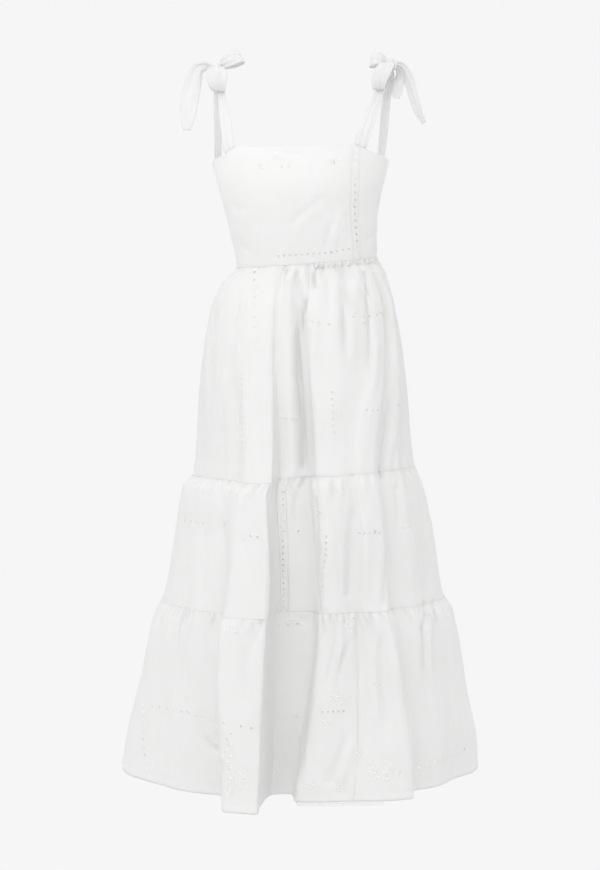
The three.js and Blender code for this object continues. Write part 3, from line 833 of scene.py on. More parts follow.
@dataclass(frozen=True)
class Eyelet:
    """A round hole worked over with thread, where it lies on the cloth."""

    place: float
    z: float
    radius: float
    rim: float = 1.2


@dataclass(frozen=True)
class EyeletRun:
    """Eyelets evenly along a path in the picture."""

    path: tuple[Spot, ...]
    count: int
    radius: float = 1.9

    def spots(self) -> list[Spot]:
        """Their picture coordinates.

        Returns:
            One for each eyelet, evenly spaced along the path.
        """
        stops = np.array(self.path, float)
        if self.count == 1:
            return [(stops[0, 0], stops[0, 1])]
        passed = reached(stops)
        at = np.linspace(0, passed[-1], self.count)
        return list(zip(np.interp(at, passed, stops[:, 0]), np.interp(at, passed, stops[:, 1])))


EYELET_RUNS = (
    # Bodice: a row above the waist and a few under the top edge
    EyeletRun(((278, 256), (293, 255), (326, 253), (348, 249)), 13, 1.5),
    EyeletRun(((269, 162), (280, 166)), 2, 1.2),
    EyeletRun(((263, 169),), 1, 1.3),
    EyeletRun(((324, 162), (340, 161)), 3, 1.4),
    EyeletRun(((343, 199), (343, 231)), 5, 0.9),
    # First tier
    EyeletRun(((254, 272), (254, 280)), 2, 1.5),
    EyeletRun(((254, 297), (253, 326)), 4, 1.0),
    EyeletRun(((242, 372), (242, 448)), 13, 1.15),
    EyeletRun(((352, 317), (371, 316), (381, 313)), 6, 1.35),
    EyeletRun(((307, 321), (328, 324)), 5, 1.1),
    EyeletRun(((331, 392), (333, 432)), 7, 1.25),
    EyeletRun(((281, 418), (297, 419)), 4, 1.3),
    EyeletRun(((366, 410), (382, 410)), 4, 1.3),
    EyeletRun(((397, 405), (404, 401)), 2, 1.6),
    # Second tier
    EyeletRun(((290, 532), (298, 531)), 2, 1.6),
    EyeletRun(((326, 536), (326, 556), (322, 574), (321, 592)), 10, 1.45),
    EyeletRun(((359, 533), (379, 533)), 5, 1.4),
    EyeletRun(((250, 536), (257, 537)), 2, 1.5),
    EyeletRun(((224, 524),), 1, 1.8),
    EyeletRun(((184, 520), (202, 523)), 4, 1.4),
    EyeletRun(((319, 512),), 1, 1.8),
    EyeletRun(((402, 528), (416, 526)), 3, 1.6),
    # Third tier
    EyeletRun(((152, 705), (176, 710), (197, 716), (224, 722)), 11, 1.35),
    EyeletRun(((241, 726), (251, 728)), 2, 2.0),
    EyeletRun(((143, 708), (142, 740), (145, 770)), 9, 1.3),
    EyeletRun(((283, 717), (296, 716)), 3, 1.8),
    EyeletRun(((273, 737), (274, 772)), 4, 1.4),
    EyeletRun(((322, 712), (343, 711)), 5, 1.8),
    EyeletRun(((278, 625), (288, 625), (297, 624)), 3, 1.9),
    EyeletRun(((342, 619), (352, 618)), 2, 1.8),
    EyeletRun(((419, 768), (445, 757), (464, 749)), 7, 1.6),
)
ZIGZAG = EyeletRun(((229, 733), (229, 760), (227, 795)), 12, 1.3)
ZIGZAG_HALF_WIDTH = 3.4
# The band let into the second tier: plain runs of eyelets, and a stretch of small ones to and fro
BAND_RUNS = (
    EyeletRun(((282.5, 492), (282.5, 505)), 3, 2.0),
    EyeletRun(((282.5, 541), (282.5, 607)), 12, 2.0),
)
BAND_ZIGZAG = EyeletRun(((282.5, 511), (282.5, 536)), 6, 1.4)
BAND_ZIGZAG_HALF_WIDTH = 2.4
BODICE_BAND_PITCH = 11.4


def zigzag(run: EyeletRun, half_width: float) -> list[Eyelet]:
    """The eyelets of a run, set to and fro of its middle.

    Args:
        run: The run down the middle.
        half_width: How far off it they lie, in millimetres of cloth.

    Returns:
        The eyelets, from the run's start.
    """
    at = CHART.find(run.spots())
    drawn = FORM.drawn(at[:, 0], at[:, 1])
    side = half_width * (-1.0) ** np.arange(len(at)) / drawn
    return [Eyelet(place + off, z, run.radius) for (place, z), off in zip(at, side)]


def straight(run: EyeletRun) -> list[Eyelet]:
    """The eyelets of a run."""
    return [Eyelet(place, z, run.radius) for place, z in CHART.find(run.spots())]


def eyelets_of_cloth() -> list[Eyelet]:
    """Every eyelet of the panels, apart from the bands' own: those seen in front, and the same behind."""
    made = [eyelet for run in EYELET_RUNS for eyelet in straight(run)] + zigzag(ZIGZAG, ZIGZAG_HALF_WIDTH)
    return made + [Eyelet(float(mirrored(e.place)), e.z, e.radius, e.rim) for e in made if e.z < WAIST]


@dataclass(frozen=True)
class Flower:
    """An embroidered flower in the picture, petals round a small eyelet, with `leaves` beside it."""

    at: Spot
    size: float
    petals: int = 6
    leaves: int = 2
    turn: float = 0.0


FLOWERS = (
    Flower((259, 165), 5, 5, 1, 0.4),
    Flower((274, 156), 5, 5, 2, 1.1),
    Flower((288, 164), 5, 5, 2, 0.2),
    Flower((332, 161), 5, 6, 1, 0.8),
    Flower((356, 248), 5.5, 6, 2, 0.1),
    Flower((345, 215), 4, 5, 1, 0.3),
    Flower((254, 288), 5, 5, 2, 0.5),
    Flower((365, 322), 5, 6, 2, 0.9),
    Flower((318, 323), 5, 5, 2, 0.0),
    Flower((341, 416), 5, 6, 1, 0.6),
    Flower((228, 486), 6, 5, 2, 0.7),
    Flower((338, 488), 6, 5, 2, 0.2),
    Flower((243, 540), 5, 5, 1, 1.4),
    Flower((370, 540), 5, 6, 2, 0.3),
    Flower((195, 530), 5, 5, 2, 0.9),
    Flower((288, 620), 6.5, 8, 3, 0.0),
    Flower((347, 625), 7, 6, 2, 0.5),
    Flower((229, 628), 6, 5, 2, 1.0),
    Flower((334, 698), 8, 6, 3, 0.2),
    Flower((346, 700), 6, 5, 2, 1.2),
    Flower((326, 722), 7, 6, 2, 0.7),
    Flower((185, 700), 6, 5, 2, 0.4),
    Flower((380, 686), 7, 6, 2, 0.9),
    Flower((441, 662), 6, 6, 2, 0.1),
    Flower((359, 753), 6, 5, 2, 0.6),
    Flower((372, 771), 8, 6, 2, 0.3),
    Flower((386, 776), 9, 8, 3, 0.0),
    Flower((399, 772), 7, 6, 2, 0.8),
    Flower((309, 786), 7, 6, 2, 0.2),
    Flower((340, 788), 7, 6, 2, 1.1),
    Flower((243, 780), 7, 6, 2, 0.5),
)

# Lines of close stitches in the picture
STITCHED_LINES = (
    ((342, 182), (343, 205), (343, 231)),
    ((347, 182), (348, 205), (348, 231)),
    ((328, 696), (340, 697), (351, 696)),
    ((328, 706), (340, 707), (351, 706)),
    ((318, 728), (326, 727), (333, 728)),
    ((182, 524), (202, 527), (222, 530)),
    ((182, 516), (202, 519), (222, 522)),
    ((226, 733), (226, 760), (224, 795)),
    ((233, 733), (233, 760), (231, 795)),
    ((360, 758), (378, 756), (396, 757)),
    ((237, 372), (237, 448)),
    ((247, 372), (247, 448)),
    ((353, 313), (366, 313), (378, 311)),
    ((278, 606), (288, 606), (298, 605)),
    ((355.8, 620), (355.4, 700), (354.6, 794)),
)


def linear(hex_colour: str) -> tuple[float, float, float, float]:
    """A linear colour from an sRGB hex value such as "f4f3ef".

    Args:
        hex_colour: The value, with no # before it.

    Returns:
        Red, green, blue and an alpha of 1.
    """
    parts = (int(hex_colour[i : i + 2], 16) / 255 for i in (0, 2, 4))
    r, g, b = (c / 12.92 if c <= 0.04045 else ((c + 0.055) / 1.055) ** 2.4 for c in parts)
    return r, g, b, 1.0


def add_node(tree: bpy.types.NodeTree, kind: str, settings: dict, links: dict) -> bpy.types.Node:
    """Adds one node.

    Args:
        tree: The node tree it goes in.
        kind: Its type's name.
        settings: Values by the node's property or input name.
        links: Output sockets by the input that each one feeds.

    Returns:
        The node.
    """
    node = tree.nodes.new(kind)
    for name, value in settings.items():
        if hasattr(node, name) and name not in node.inputs:
            setattr(node, name, value)
        else:
            node.inputs[name].default_value = value
    for name, socket in links.items():
        tree.links.new(socket, node.inputs[name])
    return node


@dataclass(frozen=True)
class Finish:
    """A cotton finish: its colour, how matt it is, and the size and height of its threads."""

    name: str
    colour: str
    shade: str
    roughness: float
    sheen: float
    thread: float  # millimetres between threads
    thread_height: float
    slub: float  # height of thick and thin yarns
    sheer: float  # share of the light that goes through

    FIXED = {"Sheen Roughness": 0.6, "IOR": 1.45, "Specular IOR Level": 0.25}
    WAVE = {"wave_type": "BANDS", "Distortion": 0.6, "Detail": 1.0, "Detail Scale": 0.4}
    WAVE_SCALE = math.tau / 20  # of the wave texture, for one band in each unit
    YARN_STRETCH = (1.0, 0.35, 1.0)
    SLUB_NOISE = {"Scale": 260.0, "Detail": 3.0, "Roughness": 0.6}
    MOTTLE_NOISE = {"Scale": 22.0, "Detail": 4.0, "Roughness": 0.65}
    WEAVE_STRENGTH, SLUB_STRENGTH = 0.5, 0.7

    def make(self) -> bpy.types.Material:
        """Builds the material from its yarns, on the piece's own map, which is in metres of cloth.

        Returns:
            The material.
        """
        made = bpy.data.materials.new(self.name)
        made.use_nodes = True
        tree = made.node_tree
        shader = tree.nodes["Principled BSDF"]
        for name, value in {"Roughness": self.roughness, "Sheen Weight": self.sheen, **self.FIXED}.items():
            shader.inputs[name].default_value = value
        uv = add_node(tree, "ShaderNodeUVMap", {"uv_map": CLOTH_MAP}, {}).outputs["UV"]
        waves = []
        for direction in ("X", "Y"):
            settings = {"bands_direction": direction, "Scale": self.WAVE_SCALE / (self.thread * MM)}
            wave = add_node(tree, "ShaderNodeTexWave", {**self.WAVE, **settings}, {"Vector": uv})
            waves.append(wave.outputs["Fac"])
        weave = add_node(tree, "ShaderNodeMath", {"operation": "MAXIMUM"}, dict(enumerate(waves))).outputs[0]
        stretch = add_node(tree, "ShaderNodeMapping", {"Scale": self.YARN_STRETCH}, {"Vector": uv})
        slub = add_node(tree, "ShaderNodeTexNoise", self.SLUB_NOISE, {"Vector": stretch.outputs["Vector"]})
        mottle = add_node(tree, "ShaderNodeTexNoise", self.MOTTLE_NOISE, {"Vector": uv})
        tint = add_node(tree, "ShaderNodeMix", {"data_type": "RGBA"}, {"Factor": mottle.outputs["Fac"]})
        tint.inputs[6].default_value = linear(self.shade)  # the mix node's two colours
        tint.inputs[7].default_value = linear(self.colour)
        colour = tint.outputs[2]
        fine = {"Strength": self.WEAVE_STRENGTH, "Distance": self.thread_height * MM}
        rough = {"Strength": self.SLUB_STRENGTH, "Distance": self.slub * MM}
        normal = add_node(tree, "ShaderNodeBump", fine, {"Height": weave}).outputs["Normal"]
        bumps = {"Height": slub.outputs["Fac"], "Normal": normal}
        normal = add_node(tree, "ShaderNodeBump", rough, bumps).outputs["Normal"]
        tree.links.new(colour, shader.inputs["Base Color"])
        tree.links.new(normal, shader.inputs["Normal"])
        through = add_node(tree, "ShaderNodeBsdfTranslucent", {}, {"Color": colour, "Normal": normal})
        both = {1: shader.outputs["BSDF"], 2: through.outputs["BSDF"]}
        mix = add_node(tree, "ShaderNodeMixShader", {"Fac": self.sheer}, both)
        tree.links.new(mix.outputs["Shader"], tree.nodes["Material Output"].inputs["Surface"])
        return made


# Bleached cotton lawn, plain woven: dead matt, with a faint uneven grain from thick and thin yarns
LAWN = Finish("bleached_cotton_lawn", "f8f8f8", "f5f5f4", 0.9, 0.2, 0.9, 0.10, 0.22, 0.35)
# Mercerised cotton thread, satin stitched: a little whiter and glossier than the ground
SATIN_STITCH = Finish("satin_stitched_cotton_thread", "fdfdfc", "fafaf8", 0.62, 0.1, 0.7, 0.16, 0.08, 0.15)
# The same lawn folded double for straps and ties: a little less sheer and less uneven, and darker than the
# lawn as painted shade, to hold down the light that the straps and bows take in from behind
DOUBLED_LAWN_PAINTED_SHADE = Finish("doubled_cotton_lawn", "f4f4f4", "f1f1f1", 0.88, 0.2, 0.9, 0.09, 0.16, 0.34)


class Slot(Enum):
    """Names of the material slots."""

    COTTON = "cotton"
    BAND = "eyelet_band"
    STRAP = "strap_cotton"


class Held(Enum):
    """How a sheet of cloth is held."""

    GATHERED = "gathered"
    FOLDED = "folded"
    HUNG = "hung"
    STRETCHED = "stretched"


def new_piece(
    name: str, points: Array, faces: Sequence[Face], cut: Array, finishes: Sequence[bpy.types.Material]
) -> bpy.types.Object:
    """Makes a smooth mesh with its cloth map.

    Args:
        name: The piece's name.
        points: One a row, in millimetres.
        faces: The points of each face, by number.
        cut: Where each point lies on the flat cloth, in millimetres.
        finishes: Its materials.

    Returns:
        The piece, in the scene.
    """
    mesh = bpy.data.meshes.new(name)
    mesh.from_pydata((points * MM).tolist(), [], faces)
    corners = np.array([i for face in faces for i in face])
    uv = mesh.uv_layers.new(name=CLOTH_MAP)
    uv.data.foreach_set("uv", (cut[corners] * MM).ravel().astype(np.float32))
    for finish in finishes:
        mesh.materials.append(finish)
    mesh.polygons.foreach_set("use_smooth", [True] * len(faces))
    piece = bpy.data.objects.new(name, mesh)
    bpy.context.scene.collection.objects.link(piece)
    return piece


@dataclass
class Sheet:
    """Points and faces of a sheet before it has thickness: millimetres, with the cut's own coordinates."""

    points: Array
    faces: list[Face]
    map_points: Array
    worked: set[int] = field(default_factory=set)  # faces that are covered with thread

    def build(self, name: str, wall: float, finishes: Sequence[bpy.types.Material]) -> bpy.types.Object:
        """Makes a thin closed shell of the sheet, its outer face where the points are.

        Args:
            name: The piece's name.
            wall: Its thickness in millimetres.
            finishes: Its materials: the cloth's, and the thread's where it is worked.

        Returns:
            The piece.
        """
        used = sorted({i for face in self.faces for i in face})
        number = {old: new for new, old in enumerate(used)}
        faces = [tuple(number[i] for i in face) for face in self.faces]
        piece = new_piece(name, self.points[used], faces, self.map_points[used], finishes)
        piece.data.polygons.foreach_set("material_index", [int(i in self.worked) for i in range(len(faces))])
        thicken(piece, wall)
        return piece


def select_only(piece: bpy.types.Object) -> None:
    """Makes a piece the one that operators act on.

    Args:
        piece: The piece.
    """
    bpy.ops.object.select_all(action="DESELECT")
    piece.select_set(True)
    bpy.context.view_layer.objects.active = piece


def thicken(piece: bpy.types.Object, wall: float) -> None:
    """Gives a sheet its wall, inwards, and applies it.

    Args:
        piece: The sheet.
        wall: Its thickness in millimetres.
    """
    select_only(piece)
    solid = piece.modifiers.new("wall", "SOLIDIFY")
    solid.thickness = wall * MM
    solid.offset = -1
    solid.use_even_offset = False
    bpy.ops.object.modifier_apply(modifier=solid.name)


class Edge(Enum):
    """How the edge of a panel is finished."""

    SEAM = "turned in and sewn to the next piece"
    FREE = "cut, with the cloth ending there"


def on_dress(place: Array, z: Array, stand: Array, top: float, bottom: float) -> Array:
    """Points on the cloth between two seams, standing out by `stand` more than it does."""
    out = RELIEF.at(place, np.clip(z, bottom + SEAM_GAP, top - SEAM_GAP)) + stand
    return FORM.cloth(place, z) + FORM.outward(place, z) * out[:, None]


def seat(piece: bpy.types.Object, slot: Slot, *nodes: str) -> None:
    """Puts a piece on the dress's one body, in place of the model's nodes.

    Args:
        piece: The piece.
        slot: Its material slot; not used.
        nodes: The names of the nodes that it replaces.
    """
    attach(piece, "root")
    for node in nodes:
        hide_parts(node)


@dataclass
class Panel:
    """One cut piece of the dress, between two lines and two heights.

    `cell` is the width and height of a mesh face where the cut is widest, in millimetres.
    """

    name: str
    start: str
    end: str
    top: float
    bottom: float
    cell: Spot
    slot: Slot
    held: Held
    foot: Edge = Edge.SEAM
    lift: float = 0.0
    scallop: float = 0.0
    pitch: float = 0.0
    wall: float = CLOTH_WALL
    own_eyelets: list[Eyelet] = field(default_factory=list)

    TURN = (0.12, 1.1)  # how far a turned edge goes in, at its roll and at its end
    ROLL = 0.6
    MARGIN = 5.0  # no eyelet lies nearer to an edge
    EDGE_CELLS = 3  # nor so few mesh cells from one
    AROUND = 16  # points round an eyelet, two for each neighbour of the grid point that it takes out
    FIRST_TURN = 0.75  # half turns from the right to the first neighbour
    CLEAR = 0.4  # between an eyelet's rim and the cloth's own points
    CREST = (0.45, 0.5)  # of its stitched rim: share of the rim's width, and how far it stands out
    LIP = 0.1
    NEIGHBOURS = ((-1, -1), (0, -1), (1, -1), (1, 0), (1, 1), (0, 1), (-1, 1), (-1, 0))

    def ruler(self) -> tuple[Array, Array]:
        """Places across the panel and the millimetres of cloth before each, where the cut is widest.

        Returns:
            The places, and the millimetres, which end in the cut's width.
        """
        rulers = [
            FORM.ruler(FORM.along(self.start), FORM.along(self.end), z)
            for z in (self.top - 1, (self.top + self.bottom) / 2, self.bottom + 1)
        ]
        return max(rulers, key=lambda ruler: ruler[1][-1])

    def turned(self, values: Array, roll: float, which: tuple[bool, bool]) -> tuple[Array, Array]:
        """Adds the turned-in edges at either end of a row of values, with how far in each value lies.

        Args:
            values: Cuts or heights.
            roll: How far along them the turn of the edge reaches.
            which: Whether the first and the last edge are turned in.

        Returns:
            The values with those of the edges, and how far in each lies.
        """
        tucks = np.zeros(len(values))
        if which[0]:
            values = np.concatenate([[values[0], values[0], values[0] + roll], values[1:]])
            tucks = np.concatenate([[self.TURN[1], self.TURN[0], 0.0], tucks[1:]])
        if which[1]:
            values = np.concatenate([values[:-1], [values[-1] - roll, values[-1], values[-1]]])
            tucks = np.concatenate([tucks[:-1], [0.0, self.TURN[0], self.TURN[1]]])
        return values, tucks

    def sheet(self, eyelets: Iterable[Eyelet]) -> Sheet:
        """Lays out the grid, works the eyelets into it and puts it on the dress.

        Args:
            eyelets: All eyelets of the dress, of which the panel takes those that lie on it.

        Returns:
            The sheet with its holes.
        """
        start, end = FORM.along(self.start), FORM.along(self.end)
        places, lengths = self.ruler()
        gap = SEAM_GAP / 6
        steps = max(4, round(lengths[-1] / self.cell[0]))
        cuts = np.linspace(gap, lengths[-1] - gap, steps + 1)
        drops = max(3, round((self.top - self.bottom) / self.cell[1]))
        foot = self.bottom + (gap if self.foot is Edge.SEAM else 0)
        heights = np.linspace(self.top - gap, foot, drops + 1)
        seamed = self.lift == 0
        cuts, side_tuck = self.turned(cuts, self.ROLL, (seamed, seamed))
        heights, end_tuck = self.turned(heights, -self.ROLL, (seamed, seamed and self.foot is Edge.SEAM))
        place, z = np.meshgrid(np.interp(cuts, lengths, places), heights)
        tuck = np.maximum(*np.meshgrid(side_tuck, end_tuck))
        if self.scallop:
            wave = np.abs(np.sin(np.pi * cuts / self.pitch))[None, :]
            low = (self.top - z) / (self.top - self.bottom)
            z = z + self.scallop * low**2 * (1 - wave)
        margin = self.MARGIN / (lengths[-1] / (end - start))
        across, down = (start + margin, end - margin), (self.bottom + self.MARGIN, self.top - self.MARGIN)
        inside = [e for e in eyelets if across[0] < e.place < across[1] and down[0] < e.z < down[1]]
        return self.worked_grid(place, z, tuck, [*inside, *self.own_eyelets])

    def make_room(
        self, place: Array, z: Array, spots: Sequence[tuple[int, int]], eyelet: Eyelet, drawn: float
    ) -> None:
        """Moves the grid's points round an eyelet clear of its rim.

        Args:
            place: The grid's places.
            z: Its heights.
            spots: Rows and columns of those points.
            eyelet: The eyelet.
            drawn: How tightly the cloth is drawn in there.
        """
        clear = eyelet.radius + eyelet.rim + self.CLEAR
        for spot in spots:
            x, y = (place[spot] - eyelet.place) * drawn, z[spot] - eyelet.z
            far = math.hypot(x, y)
            if far < clear:
                place[spot] = eyelet.place + x * clear / far / drawn
                z[spot] = eyelet.z + y * clear / far

    def rim(self, eyelet: Eyelet, drawn: float) -> list[Triple]:
        """The points of an eyelet's stitched rim.

        Args:
            eyelet: The eyelet.
            drawn: How tightly the cloth is drawn in there.

        Returns:
            Three rings from the outer one in: place, height and how far each point stands out.
        """
        crest = (eyelet.radius + eyelet.rim * self.CREST[0], self.CREST[1])
        points = []
        for radius, raised in ((eyelet.radius + eyelet.rim, 0.0), crest, (eyelet.radius, self.LIP)):
            for k in range(self.AROUND):
                turn = math.pi * (self.FIRST_TURN + k / (self.AROUND / 2))
                x, y = radius * math.cos(turn) / drawn, radius * math.sin(turn)
                points.append((eyelet.place + x, eyelet.z + y, raised))
        return points

    def worked_grid(self, place: Array, z: Array, tuck: Array, eyelets: list[Eyelet]) -> Sheet:
        """Cuts the eyelets in a grid, with a raised rim round each, and finds where all of it lies.

        Args:
            place: The grid's places.
            z: Its heights.
            tuck: How far in each point lies, at the turned edges.
            eyelets: The eyelets to work.

        Returns:
            The sheet.
        """
        rows, count = place.shape
        dropped: set[tuple[int, int]] = set()
        rings: list[Triple] = []
        plain: list[Face] = []
        worked: list[Face] = []
        around, hub = self.AROUND, self.NEIGHBOURS
        centres = np.array([(e.place, e.z) for e in eyelets]).reshape(-1, 2)
        tightness = FORM.drawn(centres[:, 0], centres[:, 1]) if len(centres) else []
        for eyelet, drawn in zip(eyelets, tightness):
            i = int(np.argmin(np.abs(place[rows // 2] - eyelet.place)))
            j = int(np.argmin(np.abs(z[:, i] - eyelet.z)))
            near = {(j + a, i + b) for a in (-1, 0, 1) for b in (-1, 0, 1)}
            edge = self.EDGE_CELLS
            if not (edge <= i < count - edge and edge <= j < rows - edge) or near & dropped:
                LOG.info("%s: no room for the eyelet at %.0f, %.0f", self.name, eyelet.place, eyelet.z)
                continue
            dropped.add((j, i))
            self.make_room(place, z, [(j + a, i + b) for a, b in hub], eyelet, drawn)
            first = rows * count + len(rings)
            rings += self.rim(eyelet, drawn)
            ring = [[first + around * n + k % around for k in range(around + 1)] for n in range(3)]
            grid = [(j + a) * count + i + b for a, b in hub]
            for k in range(len(hub)):
                one, two = grid[k], grid[(k + 1) % len(hub)]
                plain.append((one, ring[0][2 * k + 1], ring[0][2 * k]))
                plain.append((one, two, ring[0][2 * k + 2], ring[0][2 * k + 1]))
            for n in range(2):
                for k in range(around):
                    worked.append((ring[n][k], ring[n][k + 1], ring[n + 1][k + 1], ring[n + 1][k]))
        for j in range(rows - 1):
            for i in range(count - 1):
                corners = ((j, i), (j + 1, i), (j + 1, i + 1), (j, i + 1))
                if not any(corner in dropped for corner in corners):
                    plain.append(tuple(a * count + b for a, b in corners))
        extra = np.array(rings).reshape(-1, 3)
        places = np.concatenate([place.ravel(), extra[:, 0]])
        heights = np.concatenate([z.ravel(), extra[:, 1]])
        stand = np.concatenate([-tuck.ravel(), extra[:, 2]]) + self.lift
        points = on_dress(places, heights, stand, self.top, self.bottom)
        cuts = np.interp(places, *self.ruler())
        covered = set(range(len(plain), len(plain) + len(worked)))
        return Sheet(points, plain + worked, np.stack([cuts, heights], axis=1), covered)

    def build(self, eyelets: Iterable[Eyelet], finishes: Sequence[bpy.types.Material]) -> bpy.types.Object:
        """Makes the panel, puts it on its body and states its cut.

        Args:
            eyelets: All eyelets of the dress.
            finishes: The cloth's and the thread's.

        Returns:
            The piece.
        """
        piece = self.sheet(eyelets).build(self.name + "_cloth", self.wall, finishes)
        seat(piece, self.slot, self.name)
        size = (float(self.ruler()[1][-1]) * MM, (self.top - self.bottom) * MM)
        LOG.info("%s: %d faces, cut %.3f by %.3f m", piece.name, len(piece.data.polygons), *size)
        return piece


def tube(rings: int, around: int, first: int = 0) -> list[Face]:
    """Faces between closed rings of points that follow each other.

    Args:
        rings: How many rings.
        around: Points in each.
        first: Number of the first point.

    Returns:
        The faces, without the caps.
    """
    faces = []
    for start in range(first, first + (rings - 1) * around, around):
        for k in range(around):
            one, two = start + k, start + (k + 1) % around
            faces.append((one, two, two + around, one + around))
    return faces


@dataclass
class Needlework:
    """Raised thread work on the cloth between two seams, gathered up as one mesh."""

    name: str
    top: float
    bottom: float
    spots: list[Triple] = field(default_factory=list)
    faces: list[Face] = field(default_factory=list)

    SUNK = -0.5  # the foot of each stitch lies this far inside the cloth
    STITCH = 4.0  # length of a line's mesh faces
    PADDING = (0.92, 0.55)  # a petal's size just above the cloth and on top, as shares of its foot's
    LOW = 0.35  # share of its height where the first of them lies
    POINT = 0.25  # how much wider it is at its far end
    # Of a flower's size: where each part starts, its length and its width
    PETAL, LEAF, BEAD = (0.28, 0.8, 0.52), (1.25, 1.1, 0.38), (-0.14, 0.28, 0.28)
    PETAL_HEIGHT, LEAF_HEIGHT, BEAD_HEIGHT = 0.8, 0.6, 0.9
    LEAF_TURN, LEAF_STEP = 0.35, 0.4  # radians on from the petals, and the share of a step before the first

    def add(self, at: Spot, shape: Sequence[Triple], faces: Iterable[Face]) -> None:
        """Adds a small shape.

        Args:
            at: The place and height it is worked at.
            shape: Its points, in millimetres from there across, up and out.
            faces: Their faces.
        """
        first = len(self.spots)
        drawn = FORM.drawn_at(at)
        self.spots += [(at[0] + x / drawn, at[1] + y, out) for x, y, out in shape]
        self.faces += [tuple(first + i for i in face) for face in faces]

    def satin(
        self, at: Spot, turn: float, reach: float, length: float, width: float, height: float
    ) -> None:
        """A petal or leaf in satin stitch.

        Args:
            at: The flower's middle.
            turn: Which way the petal points, from the right.
            reach: From the middle to where it starts.
            length: Its length.
            width: Its width.
            height: How far it is padded up.
        """
        sides, shape = 10, []
        (foot, top), low = self.PADDING, self.LOW
        for share, out in ((1.0, self.SUNK), (foot, height * low), (top, height)):
            for k in range(sides):
                angle = math.tau * k / sides
                along = reach + length / 2 * (1 + share * math.cos(angle))
                side = width / 2 * share * math.sin(angle) * (1 + self.POINT * math.cos(angle))
                x = along * math.cos(turn) - side * math.sin(turn)
                shape.append((x, along * math.sin(turn) + side * math.cos(turn), out))
        caps = [tuple(reversed(range(sides))), tuple(range(2 * sides, 3 * sides))]
        self.add(at, shape, caps + tube(3, sides))

    def flower(self, at: Spot, flower: Flower) -> None:
        """A flower with its petals, leaves and a bead of thread in the middle.

        Args:
            at: Its place and height.
            flower: What it is like.
        """
        size = flower.size
        for k in range(flower.petals):
            turn = flower.turn + math.tau * k / flower.petals
            self.satin(at, turn, *(size * share for share in self.PETAL), self.PETAL_HEIGHT)
        for k in range(flower.leaves):
            turn = flower.turn + self.LEAF_TURN + math.tau * (k + self.LEAF_STEP) / max(flower.leaves, 2)
            self.satin(at, turn, *(size * share for share in self.LEAF), self.LEAF_HEIGHT)
        self.satin(at, flower.turn, *(size * share for share in self.BEAD), self.BEAD_HEIGHT)

    def cord(self, stops: Array, width: float, height: float) -> None:
        """A line of close stitches, as a half-round ridge.

        Args:
            stops: Places and heights on its way.
            width: Its width.
            height: How far it stands out.
        """
        drawn = FORM.drawn_at(stops[len(stops) // 2])
        flat = stops * np.array([drawn, 1.0])
        passed = reached(flat)
        at = np.linspace(0, passed[-1], max(2, round(passed[-1] / self.STITCH)) + 1)
        line = np.stack([np.interp(at, passed, flat[:, 0]), np.interp(at, passed, flat[:, 1])], axis=1)
        run = unit(np.gradient(line, axis=0))
        slope = height * 0.6
        section = ((-0.5, self.SUNK), (-0.42, slope), (0.0, height), (0.42, slope), (0.5, self.SUNK))
        first, wide = len(self.spots), len(section)
        for (x, y), (rx, ry) in zip(line, run):
            for side, out in section:
                self.spots.append(((x + ry * side * width) / drawn, y - rx * side * width, out))
        last = first + (len(line) - 1) * wide
        self.faces += tube(len(line), wide, first)
        self.faces += [tuple(reversed(range(first, first + wide))), tuple(range(last, last + wide))]

    def ring(self, at: Spot, radius: float, thread: float, out: float) -> None:
        """A small open ring of thread, as along a picot edge.

        Args:
            at: Its place and height.
            radius: To the middle of its thread.
            thread: The thread's radius.
            out: How far it stands off the cloth.
        """
        around, sides, shape = 14, 6, []
        for k in range(around):
            turn = math.tau * k / around
            for n in range(sides):
                lean = math.tau * n / sides
                reach = radius + thread * math.cos(lean)
                shape.append((reach * math.cos(turn), reach * math.sin(turn), out + thread * math.sin(lean)))
        faces = []
        for k in range(around):
            for n in range(sides):
                one, two = k * sides + n, k * sides + (n + 1) % sides
                far = sides * ((k + 1) % around)
                faces.append((one, far + n, far + (n + 1) % sides, two))
        self.add(at, shape, faces)

    def build(self, finish: bpy.types.Material, slot: Slot, *nodes: str) -> bpy.types.Object | None:
        """Makes the mesh, or nothing where there is no work.

        Args:
            finish: The thread's.
            slot: Its material slot; not used.
            nodes: The model's nodes that it replaces.

        Returns:
            The piece, if there is one.
        """
        if not self.spots:
            return None
        spots = np.array(self.spots)
        points = on_dress(spots[:, 0], spots[:, 1], spots[:, 2], self.top, self.bottom)
        piece = new_piece(self.name, points, self.faces, spots[:, :2], [finish])
        select_only(piece)
        bpy.ops.object.mode_set(mode="EDIT")
        bpy.ops.mesh.select_all(action="SELECT")
        bpy.ops.mesh.normals_make_consistent(inside=False)
        bpy.ops.object.mode_set(mode="OBJECT")
        seat(piece, slot, *nodes)
        LOG.info("%s: %d faces", piece.name, len(piece.data.polygons))
        return piece


